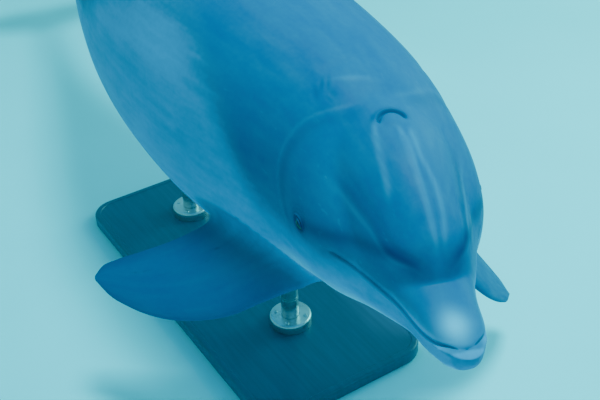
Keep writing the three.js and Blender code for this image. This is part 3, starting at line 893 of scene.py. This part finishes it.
def ovalTurn(oval, fin, flat):
    # the turn round the fin's section that belongs to a place in the chart, and how far out it is
    off = flat - oval["middle"]
    long, wide = off @ oval["along"], off @ oval["across"]
    turn = np.arctan2(wide, long)
    for _ in range(4):
        reachLong, reachWide = ovalReach(oval, fin, turn)
        turn = np.arctan2(wide / reachWide, long / reachLong)
    return turn, np.hypot(wide / reachWide, long / reachLong)


def skirtPoints(oval, fin, turn):
    long, wide = ovalReach(oval, fin, turn)
    flat = (oval["middle"] + (long * np.cos(turn))[:, None] * oval["along"]
            + (wide * np.sin(turn))[:, None] * oval["across"])
    at, angle = flat[:, 0], fin["middle"] + flat[:, 1] / oval["radius"]
    return onSkin(at, angle), outwards(at, angle)


def filletRows(fin, turn, oval):
    # curves that leave the body level with the skin and run into the lines of the fin
    hit = skinHit(fin, turn)
    foot, normal = skirtPoints(oval, fin, turn)
    edge = finPoints(fin, turn, hit)
    start = hit + fin["fillet"]
    end = finPoints(fin, turn, start)
    rise = end - edge
    rise /= np.linalg.norm(rise, axis=1, keepdims=True)
    level = edge - foot
    level -= (level * normal).sum(1, keepdims=True) * normal
    reach = np.linalg.norm(level, axis=1, keepdims=True)
    level /= reach
    # the bend of each curve is where its two end directions pass closest
    both = (level * rise).sum(1)
    gap = edge - foot
    along = ((gap * rise).sum(1) * both - (gap * level).sum(1)) / (both**2 - 1)
    nearest, furthest = finRows["bend"]
    bendAt = np.clip(along[:, None], nearest * reach, furthest * reach)
    bendPoint = foot + level * bendAt
    t = np.linspace(0, 1, finRows["fillet"] + 1)[:-1, None, None]
    rows = (1 - t) ** 2 * foot + 2 * t * (1 - t) * bendPoint + t**2 * end
    return rows, start, hit


def addFin(skin, name, fin):
    oval = rootOval(fin)
    middles = faceMiddles(skin)
    close = np.linalg.norm(middles - fin["root"], axis=1) < fin["span"] * finRows["near"]
    inside = np.zeros(len(middles), bool)
    turn, out = ovalTurn(oval, fin, oval["chart"](middles[close]))
    inside[close] = out < finRows["hole"]
    rim = cutHole(skin, inside)
    paintRoot(skin, fin, oval)
    turn, _ = ovalTurn(oval, fin, oval["chart"](rim))
    rows, start, hit = filletRows(fin, turn, oval)
    steps = np.linspace(0, 1, finRows["blade"])[:, None]
    steps = 1 - (1 - steps) ** finRows["gather"]
    share = mix(start[None, :], 1, steps)
    blade = finPoints(fin, turn[None, :], share)
    tip = np.broadcast_to(blade[-1].mean(0), (1, len(turn), 3))
    points = closeRing(np.concatenate((rim[None], rows, blade, tip)))
    piece = layGrid(name, points)
    ease = np.linspace(0, 1, len(rows) + 1)[:, None]
    early = mix(hit[None, :] - finRows["early"], start[None, :], ease)
    shares = closeRing(np.concatenate((early, share, share[-1:])))
    turns = np.broadcast_to(closeRing(turn[None, :]), shares.shape)
    at, left, up = unplace(points[0])
    rootTone = np.broadcast_to(bodyTone(at, left, up), shares.shape)
    grown = np.broadcast_to(np.linspace(0, fin["fade"], len(shares))[:, None], shares.shape)
    paintFin(piece, fin, *(values.reshape(-1) for values in (shares, turns, rootTone, grown)))
    joinTo(skin, [piece])
    mergeDoubles(skin)
    print(name, "joined:", len(turn), "columns")


eye = {
    "at": 334, "height": 18, "radius": 16, "depth": 13.5,
    "tilt": 20,  # degrees by which the front corner is lower
    "halfLong": 15, "halfHigh": 5.2,
    "patch": 31,
    "gap": 0.5,  # between the ball and the lids
    "lid": 2.2,
    "facets": (48, 28),
    "cornea": {"rise": 0.07, "until": 40},  # share of the radius, and degrees from the middle
}
lids = {
    "rows": 24,
    "gather": 1.5,
    "past": 5,  # the hole in the skin reaches this far past the patch
    "above": (0, 0.6),
    "below": (0.25, 0.8),
    "corner": 1.5,  # above 1 the corners of the slit are pointed
    "roundFrom": 0.5,
    # each fold or puff: rise, share of the way from the lids' edge to the rim, width as such a share
    "upperFold": (-1.7, 0.26, 0.05),
    "lowerFold": (-1, 0.32, 0.07),
    "puff": (1.2, 0.12, 0.07),
    "upperPuffs": [(0.8, 0.4, 0.1), (1.1, 0.7, 0.17)],
    "edge": 0.09,
    "ballBlend": (0.02, 0.22),
    "tuck": (0.6, 2.5),  # how deep inside the ball the edge turns in
    "pole": 0.75,
}


def eyeCentre(side):
    at = np.array(float(eye["at"]))
    angle = angleAtHeight(at, eye["height"])
    reach = skinRadius(at, angle) * np.cos(angle) - eye["depth"]
    return place(at, side * reach, eye["height"])


def eyeChart(at, up):
    # along the slit towards the back, and across it upwards
    tilt = math.radians(eye["tilt"])
    off, rise = at - eye["at"], up - eye["height"]
    return off * math.cos(tilt) + rise * math.sin(tilt), rise * math.cos(tilt) - off * math.sin(tilt)


def sidePoint(along, across, side, lift):
    tilt = math.radians(eye["tilt"])
    at = eye["at"] + along * math.cos(tilt) - across * math.sin(tilt)
    up = eye["height"] + along * math.sin(tilt) + across * math.cos(tilt)
    angle = angleAtHeight(at, up)
    if side < 0:
        angle = math.pi - angle
    return onSkin(at, angle) + outwards(at, angle) * lift[..., None]


def addLids(skin, name, side):
    at, left, up = unplace(faceMiddles(skin))
    along, across = eyeChart(at, up)
    inside = np.hypot(along, across) < eye["patch"] + lids["past"]
    inside = inside & (left * side > eyeZone) & (at < headEnd)
    rim = cutHole(skin, inside)
    at, left, up = unplace(rim)
    along, across = eyeChart(at, up)
    turn = np.arctan2(across, along)[None, :]
    # 1 at the outer ring and 0 at the lids' edge
    v = (np.linspace(1, 0, lids["rows"]) ** lids["gather"])[:, None]
    wide = mix(eye["halfLong"], eye["patch"], v)
    high = mix(eye["halfHigh"], eye["patch"], v)
    point = mix(lids["corner"], 1, smooth(0, lids["roundFrom"], v))
    a = wide * np.cos(turn)
    b = high * np.sign(np.sin(turn)) * np.abs(np.sin(turn)) ** point
    above = smooth(*lids["above"], np.sin(turn))
    below = smooth(*lids["below"], -np.sin(turn))

    def swell(rise, where, width):
        return rise * bell(v - where, width)

    folds = swell(*lids["upperFold"]) * above + swell(*lids["lowerFold"]) * below
    puffs = swell(*lids["puff"]) + sum(swell(*puff) for puff in lids["upperPuffs"]) * above
    rows = sidePoint(a, b, side, folds + puffs)
    centre = eyeCentre(side)
    outward = rows - centre
    outward /= np.linalg.norm(outward, axis=-1, keepdims=True)
    over = eye["radius"] + eye["gap"] + eye["lid"] * smooth(0, lids["edge"], v)
    shell = centre + outward * over[..., None]
    rows = mix(rows, shell, (1 - smooth(*lids["ballBlend"], v))[..., None])
    # the edge of the lids turns in to the ball, and the skin closes inside it
    edge = outward[-1:]
    inner = [centre + edge * (eye["radius"] - depth) for depth in lids["tuck"]]
    pole = np.broadcast_to(centre + lids["pole"] * (inner[-1].mean((0, 1)) - centre), (1, rim.shape[0], 3))
    points = closeRing(np.concatenate((rim[None], rows, *inner, pole)))
    piece = layGrid(name, points)
    paintBody(piece)
    joinTo(skin, [piece])
    mergeDoubles(skin)
    print(name, "joined:", len(rim), "columns")


def addEyeball(name, side):
    centre = eyeCentre(side) * mm
    at = np.array(float(eye["at"]))
    back, left, up = frameAt(at)
    around, rings = eye["facets"]
    bpy.ops.mesh.primitive_uv_sphere_add(segments=around, ring_count=rings, radius=eye["radius"] * mm)
    ball = bpy.context.object
    ball.name = name
    local = corners(ball)
    # the sphere's pole becomes the middle of the cornea, which stands out a little
    off = np.degrees(np.arccos(np.clip(local[:, 2] / eye["radius"], -1, 1)))
    cornea = eye["cornea"]
    local = local * (1 + cornea["rise"] * (1 - smooth(0, cornea["until"], off)))[:, None]
    setAttribute(ball, "gaze", local * mm)
    tilt = math.radians(eye["tilt"])
    along = back * math.cos(tilt) + up * math.sin(tilt)
    across = up * math.cos(tilt) - back * math.sin(tilt)
    world = local[:, :1] * along + local[:, 1:2] * across + local[:, 2:] * left * side
    setCorners(ball, world + centre / mm)
    turnOut(ball)
    bpy.ops.object.shade_smooth()
    return ball


stand = {
    "base": {"long": 900, "wide": 400, "thick": 30, "corner": 60, "cornerFaces": 14,
             "edge": 5, "edgeFaces": 4, "border": 14, "sunk": 1.5},
    "rod": {"radius": 19, "sides": 64, "into": 14, "grooves": (70, 76), "grooveHalf": 1.2, "grooveDeep": 1.2,
            "grooveEdge": 0.2},
    "collar": {"radius": 46, "sides": 96, "high": 22, "edge": 5, "edgeFaces": 5, "gap": 0.6, "neck": 9},
    "screw": {"count": 4, "at": 33, "radius": 4.5, "sides": 24, "high": 2, "edge": 0.5, "socket": 0.5,
              "socketSides": 6, "socketDeep": 3},
    "foot": 0.4,  # gap between the base and what stands on it
    "rods": {"front": 740, "rear": 1240},
}


def startPiece(name):
    piece = bpy.context.object
    piece.name = name
    bpy.ops.object.transform_apply(location=True, rotation=True, scale=True)
    bpy.ops.object.mode_set(mode="EDIT")
    return piece


def addCylinder(radius, low, high, x, y, sides):
    bpy.ops.mesh.primitive_cylinder_add(vertices=sides, radius=radius * mm, depth=(high - low) * mm,
                                        location=(x * mm, y * mm, (low + high) / 2 * mm))


def pickWhere(piece, kind, test):
    # selects the edges or faces that pass the test, in edit mode
    bpy.ops.mesh.select_mode(type=kind)
    bpy.ops.mesh.select_all(action="DESELECT")
    mesh = bmesh.from_edit_mesh(piece.data)
    for part in mesh.faces if kind == "FACE" else mesh.edges:
        if test(part):
            part.select_set(True)
    bmesh.update_edit_mesh(piece.data)


def facesUp(face):
    return face.normal.z > 0.9


def climb(edge):
    # how much higher one end of an edge is, in millimetres
    return abs(edge.verts[0].co.z - edge.verts[1].co.z) / mm


def finishPiece():
    bpy.ops.mesh.select_all(action="SELECT")
    bpy.ops.mesh.normals_make_consistent(inside=False)
    bpy.ops.object.mode_set(mode="OBJECT")
    bpy.ops.object.shade_smooth_by_angle(angle=math.radians(smoothAngle["stand"]))


def makeBase():
    size = stand["base"]
    half = size["thick"] / 2
    bpy.ops.mesh.primitive_cube_add(size=1, location=(0, 0, half * mm))
    bpy.context.object.scale = (size["wide"] * mm, size["long"] * mm, size["thick"] * mm)
    piece = startPiece("stand_board")
    pickWhere(piece, "EDGE", lambda edge: climb(edge) > half)
    bpy.ops.mesh.bevel(offset=size["corner"] * mm, segments=size["cornerFaces"])
    # a shallow field is sunk into the top, inside a plain border
    pickWhere(piece, "FACE", facesUp)
    bpy.ops.mesh.inset(thickness=size["border"] * mm)
    bpy.ops.mesh.inset(thickness=size["sunk"] * mm, depth=-size["sunk"] * mm)
    # the square edges round the top and the underside
    pickWhere(piece, "EDGE", lambda edge: climb(edge) < 0.1 and edge.calc_face_angle() > math.radians(80))
    bpy.ops.mesh.bevel(offset=size["edge"] * mm, segments=size["edgeFaces"])
    finishPiece()
    return piece


def standPlace(end):
    # where a rod stands, and the height at which it does
    x, y, _ = spineAt(np.array(float(stand["rods"][end])))
    return float(x), float(y), stand["base"]["thick"] - stand["base"]["sunk"] + stand["foot"]


def makeRod(end):
    size = stand["rod"]
    x, y, foot = standPlace(end)
    at = float(stand["rods"][end])
    top = float(spineAt(np.array(at))[2] - read(body["profile"], at, 3)) + size["into"]
    addCylinder(size["radius"], foot, top, x, y, size["sides"])
    piece = startPiece(f"stand_post_{end}")
    # two fine grooves are turned above the collar
    for height in size["grooves"]:
        half = size["grooveHalf"]
        for offset in (-half, half):
            bpy.ops.mesh.select_all(action="SELECT")
            bpy.ops.mesh.bisect(plane_co=(0, 0, (foot + height + offset) * mm), plane_no=(0, 0, 1))
        middle = foot + height
        pickWhere(piece, "FACE", lambda face: abs(face.calc_center_median().z / mm - middle) < half)
        bpy.ops.mesh.inset(thickness=size["grooveEdge"] * mm, depth=-size["grooveDeep"] * mm)
    finishPiece()
    return piece


def makeScrew(x, y, z):
    # a round head with a hexagon socket
    size = stand["screw"]
    addCylinder(size["radius"], z, z + size["high"], x, y, size["sides"])
    screw = startPiece("screw")
    pickWhere(screw, "FACE", facesUp)
    bpy.ops.mesh.bevel(offset=size["edge"] * mm, segments=2)
    bpy.ops.object.mode_set(mode="OBJECT")
    low = z + size["high"] + 0.1 - size["socketDeep"] / 2
    addCylinder(size["radius"] * size["socket"], low, low + size["socketDeep"], x, y, size["socketSides"])
    socket = bpy.context.object
    bpy.context.view_layer.objects.active = screw
    cut = screw.modifiers.new("socket", "BOOLEAN")
    cut.operation = "DIFFERENCE"
    cut.object = socket
    cut.solver = "EXACT"
    bpy.ops.object.select_all(action="DESELECT")
    screw.select_set(True)
    bpy.ops.object.modifier_apply(modifier="socket")
    bpy.data.objects.remove(socket)
    return screw


def makeCollar(end):
    size = stand["collar"]
    rod = stand["rod"]["radius"]
    x, y, foot = standPlace(end)
    top = foot + size["high"]
    addCylinder(size["radius"], foot, top, x, y, size["sides"])
    piece = startPiece(f"stand_flange_{end}")
    # bored through for the post
    pickWhere(piece, "FACE", lambda face: abs(face.normal.z) > 0.9)
    bpy.ops.mesh.inset(thickness=(size["radius"] - rod - size["gap"]) * mm)
    bpy.ops.mesh.bridge_edge_loops()
    pickWhere(piece, "FACE", facesUp)
    bpy.ops.mesh.inset(thickness=(size["radius"] - rod - size["neck"]) / 2 * mm, use_select_inset=False)

    def onOuterTop(edge):
        ends = [corner.co / mm for corner in edge.verts]
        out = min(math.hypot(p.x - x, p.y - y) for p in ends)
        return out > size["radius"] - 1 and min(p.z for p in ends) > top - 0.5

    pickWhere(piece, "EDGE", onOuterTop)
    bpy.ops.mesh.bevel(offset=size["edge"] * mm, segments=size["edgeFaces"])
    finishPiece()
    screws = []
    count, reach = stand["screw"]["count"], stand["screw"]["at"]
    for i in range(count):
        turn = 2 * math.pi * (i + 0.5) / count
        screws.append(makeScrew(x + reach * math.cos(turn), y + reach * math.sin(turn), top))
    joinTo(piece, screws)
    bpy.ops.object.shade_smooth_by_angle(angle=math.radians(smoothAngle["stand"]))
    return piece


def paint(code):
    # a colour from its hexadecimal code
    parts = [int(code[i : i + 2], 16) / 255 for i in (0, 2, 4)]
    return tuple(c / 12.92 if c < 0.04045 else ((c + 0.055) / 1.055) ** 2.4 for c in parts) + (1,)


def newFinish(name, **sockets):
    material = bpy.data.materials.new(name)
    material.use_nodes = True
    shader = material.node_tree.nodes["Principled BSDF"]
    for socket, value in sockets.items():
        shader.inputs[socket].default_value = value
    return material, material.node_tree, shader


def fill(tree, node, inputs):
    # links each input to another node's socket, or sets its value
    for socket, value in dict(inputs).items():
        if isinstance(value, bpy.types.NodeSocket):
            tree.links.new(value, node.inputs[socket])
        else:
            node.inputs[socket].default_value = value


def addNode(tree, kind, inputs=(), **settings):
    node = tree.nodes.new(kind)
    for key, value in settings.items():
        setattr(node, key, value)
    fill(tree, node, inputs)
    return node


def calc(tree, operation, first, second=0, clamp=False):
    node = addNode(tree, "ShaderNodeMath", {0: first, 1: second}, operation=operation, use_clamp=clamp)
    return node.outputs[0]


def weigh(tree, *parts):
    # the sum of several values, each with its weight
    total = None
    for value, weight in parts:
        scaled = value if weight == 1 else calc(tree, "MULTIPLY", value, weight)
        total = scaled if total is None else calc(tree, "ADD", total, scaled)
    return total


def noise(tree, vector, scale, stretch=(1, 1, 1), detail=3, turn=0):
    mapping = {"Vector": vector, "Scale": stretch, "Rotation": (0, 0, turn)}
    mapped = addNode(tree, "ShaderNodeMapping", mapping).outputs[0]
    node = addNode(tree, "ShaderNodeTexNoise", {"Vector": mapped, "Scale": scale, "Detail": detail})
    return node.outputs["Fac"]


def ramp(tree, factor, *stops):
    # stops are pairs of a place and a colour's code or a grey
    node = addNode(tree, "ShaderNodeValToRGB", {"Fac": factor})
    marks = node.color_ramp.elements
    while len(marks) < len(stops):
        marks.new(0.5)
    for mark, (position, colour) in zip(marks, stops):
        mark.position = position
        mark.color = paint(colour) if isinstance(colour, str) else (colour, colour, colour, 1)
    return node.outputs["Color"]


def spread(tree, factor, ends):
    # noise lies mostly between these places of the ramp
    return ramp(tree, factor, (0.3, ends[0]), (0.7, ends[1]))


def blend(tree, factor, first, second):
    node = addNode(tree, "ShaderNodeMix", data_type="RGBA")
    fill(tree, node, {0: factor, 6: first, 7: paint(second)})
    return node.outputs[2]


def attribute(tree, name, output="Fac"):
    return addNode(tree, "ShaderNodeAttribute", attribute_name=name).outputs[output]


def objectPlace(tree):
    return addNode(tree, "ShaderNodeTexCoord").outputs["Object"]


def finishWith(finish, colour, rough=None, height=None, relief=(0, 0)):
    # relief is the strength and the depth in metres of the fine unevenness
    material, tree, shader = finish
    fill(tree, shader, {"Base Color": colour})
    if rough:
        fill(tree, shader, {"Roughness": rough})
    if height:
        strength, depth = relief
        bump = addNode(tree, "ShaderNodeBump", {"Height": height, "Strength": strength, "Distance": depth})
        fill(tree, shader, {"Normal": bump.outputs[0]})
    return material


skinPaint = {
    "cape": "005486", "back": "006790", "flank": "0094c6", "belly": "44cce8",
    # the dark colour paints the dark markings and the painted shade, the pale colour the scratches and the
    # painted highlights
    "dark": "003260", "pale": "08b8de",
    # how far blotches, streaks along the body and a fine mottle shift the tone
    "blotch": 0.26, "streak": 0.2, "mottle": 0.1, "shift": 0.28,
    "scratch": 0.07,
    "gloss": (0.44, 0.58),
    "relief": (0.14, 0.0014),
    # each pattern: scale, stretch, detail and turn
    "patterns": {
        "blotch": (6, (1, 2.2, 2.2), 4), "streak": (18, (0.35, 3.4, 3.4), 3, 0.08),
        "mottle": (95, (1, 1.3, 1.3)), "scratch": (26, (0.14, 5, 5), 1, 0.03), "patch": (5, (1, 1, 1), 1),
        "gloss": (22, (1, 2, 2), 4), "ripple": (75, (2.2, 0.35, 0.35), 3, 0.1), "pore": (420, (1, 1, 1), 2),
    },
}


def skinFinish():
    finish = newFinish("wet_dolphin_skin", **{
        "Roughness": 0.5, "Coat Weight": 0.02, "Coat Roughness": 0.4, "Specular IOR Level": 0.07,
    })
    tree = finish[1]
    lie = attribute(tree, "lie", "Vector")
    tone, dark, pale = (attribute(tree, name) for name in ("tone", "dark", "pale"))
    looks = {name: noise(tree, lie, *settings) for name, settings in skinPaint["patterns"].items()}
    shifts = weigh(tree, *((looks[name], skinPaint[name]) for name in ("blotch", "streak", "mottle")))
    toned = calc(tree, "SUBTRACT", weigh(tree, (tone, 1), (shifts, 1)), skinPaint["shift"], True)
    colour = ramp(tree, toned, (0, skinPaint["cape"]), (0.22, skinPaint["back"]), (0.55, skinPaint["flank"]),
                  (1, skinPaint["belly"]))
    # a few thin pale scratches, mostly along the body
    thin = ramp(tree, looks["scratch"], (0.7, 0), (0.75, 1))
    patches = ramp(tree, looks["patch"], (0.5, 0), (0.62, 1))
    scratches = calc(tree, "MULTIPLY", calc(tree, "MULTIPLY", thin, patches), skinPaint["scratch"])
    # scratches and painted highlights take the pale colour, dark markings and painted shade the dark one
    for share, code in ((scratches, "pale"), (pale, "pale"), (dark, "dark")):
        colour = blend(tree, share, colour, skinPaint[code])
    rough = spread(tree, looks["gloss"], skinPaint["gloss"])
    height = weigh(tree, (looks["ripple"], 1), (looks["pore"], 0.22), (scratches, 0.8))
    return finishWith(finish, colour, rough, height, skinPaint["relief"])


eyePaint = {
    "spokes": ("0c0c12", "1c1a20"), "rim": "16222b", "pupil": "030406",
    "pupilHigh": 1.6,  # the pupil is this many times as long as high
    "fine": (900, (1, 1, 0.2), 2),
    # where the pupil ends and the rim begins, in centimetres from the middle
    "pupilEdge": (0.5, 0.6), "rimEdge": (0.8, 0.98),
}


def eyeFinish():
    finish = newFinish("dark_eye", **{
        "Roughness": 0.22, "Coat Weight": 0.15, "Coat Roughness": 0.08, "Specular IOR Level": 0.3,
    })
    tree = finish[1]
    gaze = attribute(tree, "gaze", "Vector")
    along, across, _ = addNode(tree, "ShaderNodeSeparateXYZ", {0: gaze}).outputs
    flat = addNode(tree, "ShaderNodeVectorMath", {0: gaze, 1: (1, 1, 0)}, operation="MULTIPLY").outputs[0]
    reach = addNode(tree, "ShaderNodeVectorMath", {0: flat}, operation="LENGTH").outputs["Value"]
    # a dark iris with fine spokes, a wide pupil and a blue-grey rim
    across = calc(tree, "MULTIPLY", across, eyePaint["pupilHigh"])
    squares = [calc(tree, "MULTIPLY", part, part) for part in (along, across)]
    pupilReach = calc(tree, "SQRT", calc(tree, "ADD", *squares))
    within, without = eyePaint["pupilEdge"]
    pupil = ramp(tree, calc(tree, "MULTIPLY", pupilReach, 100), (within, 1), (without, 0))
    iris = spread(tree, noise(tree, gaze, *eyePaint["fine"]), eyePaint["spokes"])
    within, without = eyePaint["rimEdge"]
    rim = ramp(tree, calc(tree, "MULTIPLY", reach, 100), (within, 0), (without, 1))
    colour = blend(tree, rim, iris, eyePaint["rim"])
    return finishWith(finish, blend(tree, pupil, colour, eyePaint["pupil"]))


standPaint = {
    "board": {"shades": ("1d4966", "275876"), "grain": (9, (14, 0.8, 1), 5), "cloud": 3, "gloss": (0.34, 0.5),
              "relief": (0.15, 0.0006)},
    "steel": {"shades": ("b3bcc2", "d3dade"), "rings": (30, (0.6, 0.6, 40)), "gloss": (0.24, 0.4),
              "relief": (0.08, 0.0003)},
}


def boardFinish():
    finish = newFinish("lacquered_board", **{"Roughness": 0.4, "Coat Weight": 0.3, "Coat Roughness": 0.25})
    tree = finish[1]
    look = standPaint["board"]
    where = objectPlace(tree)
    grain = noise(tree, where, *look["grain"])
    cloud = noise(tree, where, look["cloud"])
    colour = spread(tree, weigh(tree, (grain, 0.6), (cloud, 0.4)), look["shades"])
    return finishWith(finish, colour, spread(tree, cloud, look["gloss"]), grain, look["relief"])


def steelFinish():
    finish = newFinish("brushed_steel", **{"Metallic": 1, "Roughness": 0.3})
    tree = finish[1]
    look = standPaint["steel"]
    rings = noise(tree, objectPlace(tree), *look["rings"])
    colour = spread(tree, rings, look["shades"])
    return finishWith(finish, colour, spread(tree, rings, look["gloss"]), rings, look["relief"])


def floorFinish():
    finish = newFinish("pale_floor", Roughness=studio["floorRough"])
    tree = finish[1]
    cloud = noise(tree, objectPlace(tree), studio["floorCloud"])
    return finishWith(finish, spread(tree, cloud, studio["floor"]))


def dress(piece, material):
    piece.data.materials.clear()
    piece.data.materials.append(material)
    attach(piece, "root")


studio = {
    "floorSize": 16,
    "floor": ("00e0f0", "10e8f8"),
    "floorRough": 0.75,
    "floorCloud": 1.2,
    "sky": "6eeefa",
    "skyStrength": 0.72,
    # place, width, power and colour of each soft lamp; all point at the animal's middle
    "lamps": {
        "key": ((0.4, -0.75, 4.1), 0.9, 195, "a0fcff"),
        "fill": ((3.2, -0.2, 1.9), 2.2, 85, "6cfff0"),
    },
    "aim": (0, -0.4, 0.55),
}


def addFloor():
    bpy.ops.mesh.primitive_plane_add(size=studio["floorSize"])
    floor = bpy.context.object
    floor.name = "floor"
    floor.data.materials.append(floorFinish())


def addLights():
    for name, (at, size, power, colour) in studio["lamps"].items():
        bpy.ops.object.light_add(type="AREA", location=at)
        lamp = bpy.context.object
        lamp.name = name
        lamp.data.size = size
        lamp.data.energy = power
        lamp.data.color = paint(colour)[:3]
        toAim = Vector(studio["aim"]) - Vector(at)
        lamp.rotation_euler = toAim.to_track_quat("-Z", "Y").to_euler()
    world = bpy.data.worlds.new("studio")
    world.use_nodes = True
    sky = world.node_tree.nodes["Background"]
    sky.inputs["Color"].default_value = paint(studio["sky"])
    sky.inputs["Strength"].default_value = studio["skyStrength"]
    bpy.context.scene.world = world


def finishSkin(skin):
    turnOut(skin)
    bpy.ops.object.shade_smooth_by_angle(angle=math.radians(smoothAngle["skin"]))
    dress(skin, skinFinish())
    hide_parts("rostrum", "lower_jaw", "head", "blowhole_flap", "neck", "chest", "trunk",
                "tail_stock_front", "tail_stock_rear", "fluke_left", "fluke_right", "dorsal_fin",
                "flipper_left", "flipper_right")


addCamera()
skin = makeSkin()
addFin(skin, "flipper_right_skin", flipperFin(flippers["right"]))
addFin(skin, "flipper_left_skin", flipperFin(flippers["left"]))
addFin(skin, "dorsal_skin", dorsalFin())
addLids(skin, "lids_left", 1)
addLids(skin, "lids_right", -1)
finishSkin(skin)

darkEye = eyeFinish()
for name, side in (("left", 1), ("right", -1)):
    ball = addEyeball(f"eyeball_{name}", side)
    dress(ball, darkEye)
    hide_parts(f"eye_{name}")
print("eyes set")

board = makeBase()
dress(board, boardFinish())
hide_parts("stand_base")
steel = steelFinish()
for end in stand["rods"]:
    post = makeRod(end)
    dress(post, steel)
    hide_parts(f"stand_rod_{end}")
    flange = makeCollar(end)
    dress(flange, steel)
    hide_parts(f"stand_collar_{end}")
print("stand made")

addFloor()
addLights()
